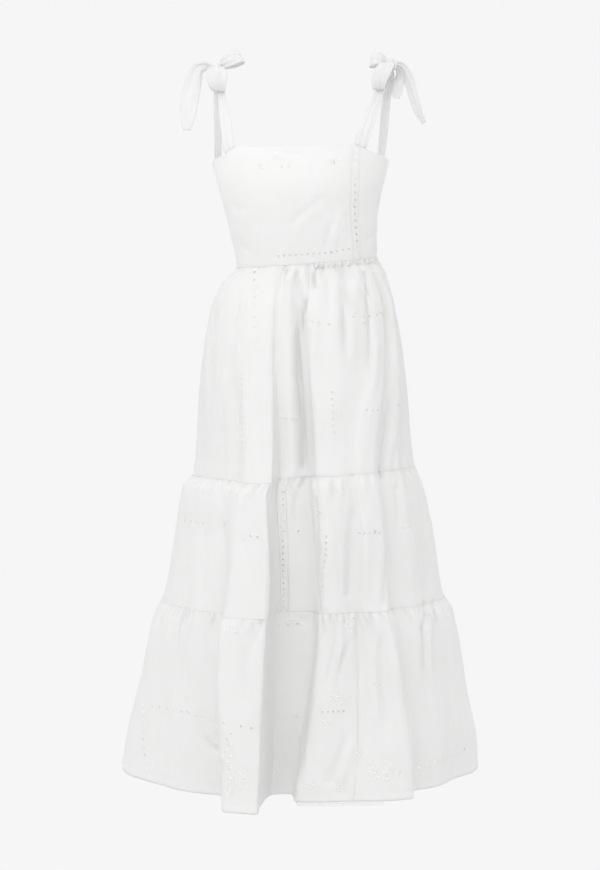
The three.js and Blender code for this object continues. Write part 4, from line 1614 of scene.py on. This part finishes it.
@dataclass
class Dress:
    """The bodice, the three tiers, the edgings and the needlework on them."""

    cloth: bpy.types.Material
    thread: bpy.types.Material
    bodice_cell: Spot = (3.6, 4.0)
    back_cell: Spot = (3.0, 2.8)
    tier_cells: tuple[Spot, Spot, Spot] = ((4.6, 4.4), (4.8, 4.4), (4.8, 4.4))
    band_cell: Spot = (2.6, 3.7)

    SCALLOP_PITCH = 6.0
    SCALLOP_EYELET = (WAIST - 5.5, 1.15, 0.7)  # height, radius and rim
    PICOT_PITCH = 6.4
    PICOT_HEIGHT = HEM - 4.0
    PICOT = (2.3, 0.9, -0.2)  # a ring's radius, its thread's, and how far it stands out
    PICOT_LINE = (1.8, 0.7)  # width and height of the line that they hang from
    LINE = (1.3, 0.45)  # width and height of a line of stitches
    BORDER = (1.3, 0.3)  # and of those down a band
    BORDER_INSET = 0.16  # of the band's width
    LEAN = 0.6  # of a band's leaves, in radians
    BAND_LEAF = (0.9, 3.6, 1.7, 0.55)  # where one starts, its length, width and height

    def bodice_band(self) -> list[Eyelet]:
        """The one column of eyelets down the band of the bodice.

        Returns:
            The eyelets, from the top.
        """
        place = (FORM.along("lobe2_seam") + FORM.along("lobe2_right_crest")) / 2
        first, radius, ends = EDGE - 7, 2.1, 12
        count = int((EDGE - WAIST - ends) / BODICE_BAND_PITCH)
        return [Eyelet(place, first - BODICE_BAND_PITCH * k, radius) for k in range(count + 1)]

    def panels(self) -> list[Panel]:
        """Every cut piece, from the top edge down.

        Returns:
            The panels, without the edgings.
        """
        cotton, band = Slot.COTTON, Slot.BAND
        one, two, three = self.tier_cells
        seam, crest, ladder = "lobe2_seam", "lobe2_right_crest", ("ladder_left", "ladder_right")
        left, right, again = "side_left", "side_right", "side_left_again"
        own = self.bodice_band()
        tier_band = [eyelet for run in BAND_RUNS for eyelet in straight(run)]
        tier_band += zigzag(BAND_ZIGZAG, BAND_ZIGZAG_HALF_WIDTH)
        gathered, stretched, free = Held.GATHERED, Held.STRETCHED, Edge.FREE
        front, back, strip = self.bodice_cell, self.back_cell, self.band_cell
        return [
            Panel("bodice_front", left, seam, EDGE, WAIST, front, cotton, stretched),
            Panel("bodice_insertion", seam, crest, EDGE, WAIST, strip, band, stretched, own_eyelets=own),
            Panel("bodice_front_side", crest, right, EDGE, WAIST, front, cotton, stretched),
            Panel("bodice_back", right, again, EDGE, WAIST, back, cotton, stretched),
            Panel("tier1_front", left, right, WAIST, SEAM1, one, cotton, gathered),
            Panel("tier1_back", right, again, WAIST, SEAM1, one, cotton, gathered),
            Panel("tier2_front_left", left, ladder[0], SEAM1, SEAM2, two, cotton, gathered),
            Panel("tier2_insertion", *ladder, SEAM1, SEAM2, strip, band, gathered, own_eyelets=tier_band),
            Panel("tier2_front_right", ladder[1], right, SEAM1, SEAM2, two, cotton, gathered),
            Panel("tier2_back", right, again, SEAM1, SEAM2, two, cotton, gathered),
            Panel("tier3_front_left", left, seam, SEAM2, HEM, three, cotton, gathered, free),
            Panel("tier3_front_right", seam, right, SEAM2, HEM, three, cotton, gathered, free),
            Panel("tier3_back", right, again, SEAM2, HEM, three, cotton, gathered, free),
        ]

    def edgings(self) -> None:
        """The scalloped strip on the waist seam and the picot under part of the hem."""
        strip = Panel(
            "waist_edging", "lobe2_left_edge", "right_crest", WAIST, WAIST - EDGING_DEPTH, (1.4, 1.25),
            Slot.BAND, Held.STRETCHED, Edge.FREE, lift=0.9, scallop=2.4, pitch=self.SCALLOP_PITCH, wall=0.6,
        )
        places, lengths = strip.ruler()
        for cut in np.arange(self.SCALLOP_PITCH / 2, lengths[-1] - 2, self.SCALLOP_PITCH):
            place = float(np.interp(cut, lengths, places))
            strip.own_eyelets.append(Eyelet(place, *self.SCALLOP_EYELET))
        strip.build((), [self.cloth, self.thread])
        hem = Needlework("hem_edging_picots", SEAM2, HEM - 8)  # it hangs below the hem
        places, lengths = FORM.ruler(FORM.along("lobe2_left_edge"), FORM.along("lobe2_right_crest"), HEM)
        along = np.linspace(places[0] + 1, places[-1] - 1, 60)
        hem.cord(np.stack([along, np.full(len(along), HEM - 0.8)], axis=1), *self.PICOT_LINE)
        for cut in np.arange(self.PICOT_PITCH / 2, lengths[-1] - 2, self.PICOT_PITCH):
            hem.ring((float(np.interp(cut, lengths, places)), self.PICOT_HEIGHT), *self.PICOT)
        hem.build(self.thread, Slot.BAND, "hem_edging")

    def needlework(self) -> None:
        """The flowers, the stitched lines beside the bands, and the lines across the panels."""
        bodice = Needlework("bodice_needlework", EDGE, WAIST)
        tiers = [
            Needlework("tier1_needlework", WAIST, SEAM1),
            Needlework("tier2_needlework", SEAM1, SEAM2),
            Needlework("tier3_needlework", SEAM2, HEM),
        ]

        def work_at(z: float) -> Needlework:
            """The needlework of the panel at a height."""
            return bodice if z > WAIST else tiers[0] if z > SEAM1 else tiers[1] if z > SEAM2 else tiers[2]

        for flower, (place, z) in zip(FLOWERS, CHART.find([f.at for f in FLOWERS])):
            work_at(z).flower((place, z), flower)
            if z < WAIST:
                work_at(z).flower((float(mirrored(place)), z), flower)
        for path in STITCHED_LINES:
            stops = CHART.find(path)
            work_at(stops[0, 1]).cord(stops, *self.LINE)
            if stops[0, 1] < WAIST:
                work_at(stops[0, 1]).cord(behind(stops), *self.LINE)
        self.band_borders(bodice, FORM.along("lobe2_seam"), FORM.along("lobe2_right_crest"))
        self.band_borders(tiers[1], FORM.along("ladder_left"), FORM.along("ladder_right"))
        for work in (bodice, *tiers):
            work.build(self.thread, Slot.BAND)

    def band_borders(self, work: Needlework, start: float, end: float) -> None:
        """Stitched lines down both sides of a band below the waist, and pairs of leaves between the eyelets
        of any band.

        Args:
            work: The needlework that they belong to.
            start: The band's left edge, as a place.
            end: Its right edge.
        """
        top, bottom, inset = work.top - 2, work.bottom + 2, self.BORDER_INSET
        heights = np.linspace(top, bottom, 40)
        for share in (inset, 1 - inset) if work.top < WAIST else ():
            place = start + (end - start) * share
            work.cord(np.stack([np.full(len(heights), place), heights], axis=1), *self.BORDER)
        middle = (start + end) / 2
        count = int((top - bottom - 10) / BODICE_BAND_PITCH)
        for k in range(count):
            z = work.top - 9 - BODICE_BAND_PITCH * (k + 0.5)
            for turn in (self.LEAN, math.pi - self.LEAN, -self.LEAN, math.pi + self.LEAN):
                work.satin((middle, z), turn, *self.BAND_LEAF)

    def build(self) -> None:
        """Makes every panel and what is worked on them."""
        eyelets = eyelets_of_cloth()
        for panel in self.panels():
            panel.build(eyelets, [self.cloth, self.thread])
        self.edgings()
        self.needlework()


def through_points(points: Array, t: Array) -> Array:
    """A smooth path through points, one row each, at shares of its length from 0 to 1.

    Args:
        points: What it passes through, one a row.
        t: Where to read it: 0 is its start and 1 its end.

    Returns:
        One point a row.
    """
    n = len(points)
    held = np.concatenate([[2 * points[0] - points[1]], points, [2 * points[-1] - points[-2]]])
    at = np.clip(t, 0, 1) * (n - 1)
    i = np.clip(np.floor(at).astype(int), 0, n - 2)
    u = (at - i)[:, None]
    a, b, c, d = (held[i + k] for k in range(4))
    runs = [np.sqrt(np.linalg.norm(q - p, axis=1, keepdims=True)) for p, q in ((a, b), (b, c), (c, d))]
    middle = np.where(runs[1] < 1e-2, 1.0, runs[1])
    before = np.where(runs[0] < 1e-2, middle, runs[0])
    after = np.where(runs[2] < 1e-2, middle, runs[2])
    m0 = ((b - a) / before - (c - a) / (before + middle) + (c - b) / middle) * middle
    m1 = ((c - b) / middle - (d - b) / (middle + after) + (d - c) / after) * middle
    return hermite(b, m0, c, m1, np.ones_like(u), u)


@dataclass(frozen=True)
class Stop:
    """A stop on a tape's way: its middle, its width there and the direction across it."""

    at: Triple
    width: float
    across: Triple


@dataclass(frozen=True)
class Tape:
    """A strap or ribbon of doubled cloth, gathered into lengthwise creases at its ends.

    `pleats` is how many creases lie side by side, `depth` deep by the shares in `tight` at its start and
    end, and fading between them to `slack` of that.
    """

    name: str
    stops: tuple[Stop, ...]
    pleats: float = 2.5
    depth: float = 1.6
    tight: Spot = (1.0, 1.0)
    slack: float = 0.25
    held: Held = Held.HUNG
    sections: int = 72
    across: int = 17

    FALL = 4.5  # how fast the creases fade from an end
    HEM = 9.0  # one over the share of the width where they flatten at its edges
    WANDER = ((0.10, 5), (0.06, 13))  # how far a crease strays, as a share of the width, and how often
    FINE = (0.4, 2.1)  # finer creases between them: their share of the depth, and how many more
    TWIST = (0.8, 9)  # millimetres that the edges turn, and how often

    def route(self, t: Array) -> tuple[Array, Array, Array, Array]:
        """The tape's way.

        Args:
            t: Shares of its length.

        Returns:
            Its middle, the directions across and out of it, and its width, at each share.
        """
        middles = through_points(np.array([stop.at for stop in self.stops], float), t)
        shares = np.linspace(0, 1, len(self.stops))
        width = Curves(shares, [[stop.width for stop in self.stops]]).read(t)
        spread = through_points(unit(np.array([stop.across for stop in self.stops], float)), t)
        tangent = unit(np.gradient(middles, axis=0))
        spread = unit(spread - tangent * (spread * tangent).sum(axis=1, keepdims=True))
        return middles, spread, np.cross(tangent, spread), width

    def creased(self, along: Array, side: Array) -> Array:
        """How far its creases stand out.

        Args:
            along: Shares of its length.
            side: Shares of its width, from -0.5 to 0.5.

        Returns:
            Millimetres at each point.
        """
        first, last = self.tight
        tight = first * np.exp(-along * self.FALL) + last * np.exp(-(1 - along) * self.FALL)
        share = np.clip(self.slack + (1 - self.slack) * tight, 0, 1)
        seed = sum(ord(letter) for letter in self.name)
        phase = np.random.default_rng(seed).uniform(0, math.tau, 4)
        wander = sum(far * np.sin(along * often + p) for (far, often), p in zip(self.WANDER, phase))
        crease = np.sin(math.tau * self.pleats * (side + wander) + phase[2])
        fine, more = self.FINE
        crease += fine * np.sin(math.tau * self.pleats * more * (side - wander) + phase[3])
        crease *= np.clip((0.5 - np.abs(side)) * self.HEM, 0, 1)
        twist, often = self.TWIST
        turned = twist * np.sin(along * often + phase[1]) * np.sin(np.pi * along) * (side * 2)
        return self.depth * share * crease + turned

    def build(self, finish: bpy.types.Material) -> bpy.types.Object:
        """Makes the tape, a wall round its middle path, and states its cut.

        Args:
            finish: The cloth's.

        Returns:
            The piece.
        """
        t = np.linspace(0, 1, self.sections)
        middles, spread, normal, width = self.route(t)
        grid_t, grid_v = np.meshgrid(t, np.linspace(-0.5, 0.5, self.across), indexing="ij")
        lift = self.creased(grid_t, grid_v)
        points = middles[:, None] + spread[:, None] * (grid_v * width[:, None])[..., None]
        points += normal[:, None] * lift[..., None]
        columns = self.across
        faces = [
            (r * columns + c, r * columns + c + 1, (r + 1) * columns + c + 1, (r + 1) * columns + c)
            for r in range(self.sections - 1)
            for c in range(columns - 1)
        ]
        length = float(np.linalg.norm(np.diff(middles, axis=0), axis=1).sum())
        cut = np.stack([grid_v.ravel() * width.max(), grid_t.ravel() * length], axis=1)
        flat = points.reshape(-1, 3) - np.repeat(normal, columns, axis=0) * TAPE_WALL / 2
        piece = Sheet(flat, faces, cut).build(self.name + "_tape", TAPE_WALL, [finish])
        seat(piece, Slot.STRAP, self.name)
        LOG.info("%s: %.0f by %.0f mm", piece.name, width.max(), length)
        return piece


@dataclass(frozen=True)
class Strap:
    """A strap from the top edge to the underside of its knot, past one point on its way."""

    name: str
    foot: float  # angle round the top edge
    width: float
    by: Triple
    head: Triple

    HALF_FOOT = 5.0  # degrees
    TAPER = 0.78  # of its foot's width, half way to the point that it passes
    HEAD_WIDTH = 13.0
    UPRIGHT = 6.0  # it leaves the top edge and meets its knot square on, over this much
    MODEL_WALL = 1.6  # of the model's bodice

    def rim(self, angle: float) -> Array:
        """The middle of the cloth's wall at the top edge.

        Args:
            angle: Degrees round the dress.

        Returns:
            One point.
        """
        a, depth = np.array([angle]), np.array([-EDGE])
        x, y = FORM.section(a, np.array([-self.MODEL_WALL / 2]), depth)
        return np.array([x[0], y[0], EDGE + FORM.off_level(a, depth)[0]])

    def tape(self) -> Tape:
        """The tape that it is made of.

        Returns:
            It, upright where it leaves the dress and where it meets the knot.
        """
        run = unit(self.rim(self.foot + self.HALF_FOOT) - self.rim(self.foot - self.HALF_FOOT))
        square = unit(np.array([0, 0, 1]) - run * run[2])
        start = self.rim(self.foot) + square * SEAM_GAP
        level = np.array([run[0], run[1], 0])
        side = np.array([math.copysign(1, run[0]), 0, 0])
        end, by, up = np.array(self.head), np.array(self.by), np.array([0, 0, self.UPRIGHT])
        stops = (
            Stop(tuple(start), self.width, tuple(run)),
            Stop(tuple(start + square * self.UPRIGHT), self.width - 1, tuple(run)),
            Stop(tuple((start + by) / 2), self.width * self.TAPER, tuple(level * 0.6 + side * 0.4)),
            Stop(tuple(by), self.HEAD_WIDTH + 3, tuple(level * 0.2 + side * 0.8)),
            Stop(tuple(end - up), self.HEAD_WIDTH, tuple(side)),
            Stop(tuple(end), self.HEAD_WIDTH, tuple(side)),
        )
        return Tape(self.name, stops, pleats=2.2, depth=1.5, tight=(0.25, 1.0), slack=0.35, sections=64)


STRAPS = (
    Strap("strap_front_left", -49.5, 28, (-147, -22, -30), (-155, -7, 10.5)),
    Strap("strap_front_right", 43.2, 28, (149, -22, -30), (170, -7, 16.5)),
    Strap("strap_back_left", 253, 22, (-158, 14, -40), (-157.5, -1, 10.5)),
    Strap("strap_back_right", 114.4, 22, (163, 14, -40), (172.5, -1, 16.5)),
)


def stops(*rows: tuple[float, float, float, float, Triple]) -> tuple[Stop, ...]:
    """Stops from rows of x, y, z, width and direction across."""
    return tuple(Stop((x, y, z), width, across) for x, y, z, width, across in rows)


LEFT_LEAN, RIGHT_LEAN = (-0.42, -0.42, 0.82), (0.1, -0.42, 0.9)
LEFT_FACE, RIGHT_FACE = (-0.42, 0.12, 0.9), (0.1, 0.15, 0.98)
RIBBONS = (
    Tape("bow_left_loop_top", stops(
        (-148.7, -9.5, 34, 18, LEFT_FACE), (-137, -16, 38, 23, LEFT_FACE), (-124, -19, 43.5, 26, LEFT_FACE),
        (-113, -14, 48, 27, LEFT_FACE), (-111.5, -6, 48, 26, LEFT_LEAN), (-118, 2, 44.5, 25, LEFT_LEAN),
        (-132, 5, 38, 20, LEFT_LEAN), (-147.2, 1, 33, 14, LEFT_LEAN),
    ), pleats=2.0, depth=1.2, held=Held.FOLDED),
    Tape("bow_left_loop_low", stops(
        (-158, -14.7, 26, 16, (1, 0, 0)), (-157, -27, 24, 28, (1, 0, 0)), (-155, -37, 6, 40, (1, 0, 0)),
        (-153, -36, -12, 32, (1, 0, 0)), (-152, -29, -21, 24, (1, 0, 0)), (-153, -23, -8, 22, (1, 0, 0)),
        (-156, -20, 10, 18, (1, 0, 0)), (-158, -14.7, 18, 14, (1, 0, 0)),
    ), pleats=2.4, depth=1.5, held=Held.FOLDED),
    Tape("bow_left_tail", stops(
        (-169, -5, 27, 12, (0, -0.5, 0.85)), (-180, -9, 30, 18, (-0.3, -0.5, 0.8)),
        (-193, -13, 24, 25, (-0.75, -0.3, 0.55)), (-201, -15, 6, 30, (-1, -0.1, 0.2)),
        (-206, -16, -18, 34, (-1, 0, 0)), (-210, -16, -44, 33, (-1, 0, 0)),
        (-213, -15, -70, 28, (-1, 0.1, 0)), (-215, -14, -92, 14, (-1, 0.2, 0)),
    ), pleats=1.6, depth=2.0, tight=(1.0, 0.0), slack=0.3),
    Tape("bow_right_loop_top", stops(
        (161.8, -9.5, 38, 18, RIGHT_FACE), (153, -15.5, 40, 22, RIGHT_FACE), (142, -17, 39, 24, RIGHT_FACE),
        (134.5, -11, 37, 23, RIGHT_FACE), (135, -3, 36, 22, RIGHT_LEAN), (144, 4, 36.5, 22, RIGHT_LEAN),
        (155, 5, 36.5, 19, RIGHT_LEAN), (162.1, 1.4, 36, 15, RIGHT_LEAN),
    ), pleats=2.0, depth=1.2, held=Held.FOLDED),
    Tape("bow_right_loop_low", stops(
        (171, -14.7, 31, 13, (1, 0, 0)), (169, -27, 28, 22, (1, 0, 0)), (156, -36, 10, 32, (1, 0, 0)),
        (150, -34, -10, 28, (1, 0, 0)), (151, -28, -20, 22, (1, 0, 0)), (154, -24, -5, 20, (1, 0, 0)),
        (168, -20, 12, 14, (1, 0, 0)), (171, -15.4, 21, 12, (1, 0, 0)),
    ), pleats=2.4, depth=1.3, held=Held.FOLDED),
    Tape("bow_right_tail_long", stops(
        (183.6, -6, 32, 12, (0, -0.7, 0.7)), (194, -9, 25, 20, (0.4, -0.75, 0.4)),
        (203, -11, 8, 25, (0.6, -0.75, 0.2)),
        (210, -12, -12, 26, (0.62, -0.75, 0.1)), (216, -12, -36, 26, (0.58, -0.78, 0.1)),
        (224, -12, -60, 22, (0.55, -0.8, 0.1)), (235, -11, -82, 12, (0.55, -0.8, 0.1)),
    ), pleats=1.8, depth=1.6, tight=(1.0, 0.0), slack=0.3),
    Tape("bow_right_tail_short", stops(
        (182.8, -4, 24, 10, (0, -0.8, 0.6)), (188, -5, 14, 16, (0.6, -0.7, 0.3)),
        (187, -6, -2, 21, (1, -0.3, 0)),
        (184, -6, -20, 20, (1, -0.2, 0)), (183, -5, -34, 13, (1, -0.2, 0)),
    ), pleats=1.6, depth=1.4, tight=(1.0, 0.0), slack=0.3),
)


@dataclass(frozen=True)
class Knot:
    """A tied knot: a band of creased cloth drawn round the ribbons that pass through it."""

    name: str
    at: Triple
    radii: Triple

    BLUNT = 0.72
    BAND = 0.55  # half the width of the band over the middle, as a share of the knot's
    BAND_EDGE = 22.0  # how sharp its edges are
    SLANT = 0.3
    PLEATS = (0.035, 2.6, 1.2)  # creases on the band: depth, how many across, and lean
    ENDS = (0.045, 2.2, 0.25)  # and on the ends beside it

    def build(self, finish: bpy.types.Material) -> bpy.types.Object:
        """Shapes a ball into the knot.

        Args:
            finish: The cloth's.

        Returns:
            The piece.
        """
        bpy.ops.object.select_all(action="DESELECT")
        bpy.ops.mesh.primitive_uv_sphere_add(segments=56, ring_count=36, radius=1.0)
        piece = bpy.context.object
        piece.name = self.name + "_tied"
        mesh = piece.data
        mesh.name = piece.name
        ball = np.empty(len(mesh.vertices) * 3)
        mesh.vertices.foreach_get("co", ball)
        ball = ball.reshape(-1, 3)
        soft = np.sign(ball) * np.abs(ball) ** self.BLUNT
        x, z = ball[:, 0] + self.SLANT * ball[:, 2], ball[:, 2]
        over = 1 / (1 + np.exp((np.abs(x) - self.BAND) * self.BAND_EDGE))
        depth, count, lean = self.PLEATS
        pleat = depth * np.cos(math.tau * count * x + lean * z)
        depth, count, lean = self.ENDS
        ends = depth * np.cos(math.tau * count * (z + lean * x))
        grow = 0.90 + 0.10 * over + pleat * over + ends * (1 - over)
        points = soft * grow[:, None] * np.array(self.radii) + np.array(self.at)
        mesh.vertices.foreach_set("co", (points * MM).ravel())
        uv = mesh.uv_layers.active or mesh.uv_layers.new(name=CLOTH_MAP)
        uv.name = CLOTH_MAP
        loops = np.empty(len(mesh.loops), dtype=np.int32)
        mesh.loops.foreach_get("vertex_index", loops)
        uv.data.foreach_set("uv", (points[loops][:, (0, 2)] * MM).ravel().astype(np.float32))
        mesh.materials.append(finish)
        mesh.polygons.foreach_set("use_smooth", [True] * len(mesh.polygons))
        mesh.update()
        seat(piece, Slot.STRAP, self.name)
        LOG.info("%s: %d faces", piece.name, len(mesh.polygons))
        return piece


KNOTS = (
    Knot("bow_left_knot", (-157, -4, 24), (11, 10, 13)),
    Knot("bow_right_knot", (172, -4, 30), (10, 10, 13)),
)


@dataclass
class Ties:
    """The straps, their knots, and the bows of their own ends."""

    cloth: bpy.types.Material

    def build(self) -> None:
        """Makes every strap, knot and ribbon."""
        for strap in STRAPS:
            strap.tape().build(self.cloth)
        for knot in KNOTS:
            knot.build(self.cloth)
        for ribbon in RIBBONS:
            ribbon.build(self.cloth)


@dataclass(frozen=True)
class Studio:
    """Soft light from a pale room and floor, and a large lamp in front, a little left and high."""

    backdrop: str = "f6f6f6"
    floor_height: float = -1.9
    floor_size: float = 60.0
    room_light: float = 1.13
    key_power: float = 9.2
    ground_light: float = 0.88  # what the floor sends back up
    key_size: float = 1.2
    key_place: Triple = (-0.6, -1.85, 0.4)
    key_target: Triple = (0.0, 0.0, -0.30)

    def seen_or_light(
        self, tree: bpy.types.NodeTree, kind: str, colour: str, strength: float
    ) -> bpy.types.NodeSocket:
        """A surface that the camera sees in the backdrop's colour, and that lights the dress in its own way.

        Args:
            tree: The node tree it goes in.
            kind: The type of node that shines.
            colour: The colour that it lights with.
            strength: How strongly.

        Returns:
            The output that shines.
        """
        seen = add_node(tree, kind, {"Color": linear(self.backdrop), "Strength": 1.0}, {})
        light = add_node(tree, kind, {"Color": linear(colour), "Strength": strength}, {})
        rays = add_node(tree, "ShaderNodeLightPath", {}, {})
        sockets = {0: rays.outputs["Is Camera Ray"], 1: light.outputs[0], 2: seen.outputs[0]}
        return add_node(tree, "ShaderNodeMixShader", {}, sockets).outputs[0]

    def build(self) -> None:
        """Makes the world, the lamp and the floor."""
        scene = bpy.context.scene
        scene.view_settings.view_transform = "Standard"
        world = bpy.data.worlds.new("pale_room")
        scene.world = world
        world.use_nodes = True
        tree = world.node_tree
        tree.nodes.clear()
        room = self.seen_or_light(tree, "ShaderNodeBackground", "ffffff", self.room_light)
        add_node(tree, "ShaderNodeOutputWorld", {}, {"Surface": room})
        lamp = bpy.data.lights.new("key_lamp", "AREA")
        lamp.energy = self.key_power
        lamp.size = self.key_size
        key = bpy.data.objects.new("key_lamp", lamp)
        scene.collection.objects.link(key)
        key.location = self.key_place
        aim = Vector(self.key_target) - Vector(self.key_place)
        key.rotation_euler = aim.to_track_quat("-Z", "Y").to_euler()
        self.floor()

    def floor(self) -> None:
        """Lays a plain pale floor well under the hem, which is clear from below."""
        bpy.ops.object.select_all(action="DESELECT")
        bpy.ops.mesh.primitive_plane_add(size=self.floor_size, location=(0, 0, self.floor_height))
        floor = bpy.context.object
        floor.name = "floor"
        paint = bpy.data.materials.new("pale_floor_paint")
        paint.use_nodes = True
        tree = paint.node_tree
        tree.nodes.clear()
        glow = self.seen_or_light(tree, "ShaderNodeEmission", self.backdrop, self.ground_light)
        clear = add_node(tree, "ShaderNodeBsdfTransparent", {}, {})
        side = add_node(tree, "ShaderNodeNewGeometry", {}, {})
        sockets = {0: side.outputs["Backfacing"], 1: glow, 2: clear.outputs[0]}
        mix = add_node(tree, "ShaderNodeMixShader", {}, sockets)
        add_node(tree, "ShaderNodeOutputMaterial", {}, {"Surface": mix.outputs[0]})
        floor.data.materials.append(paint)


def main() -> None:
    """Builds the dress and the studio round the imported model."""
    logging.basicConfig(level=logging.INFO, format="%(message)s")
    SIGHT.make_camera()
    Dress(LAWN.make(), SATIN_STITCH.make()).build()
    Ties(DOUBLED_LAWN_PAINTED_SHADE.make()).build()
    Studio().build()


if __name__ == "__main__":
    main()
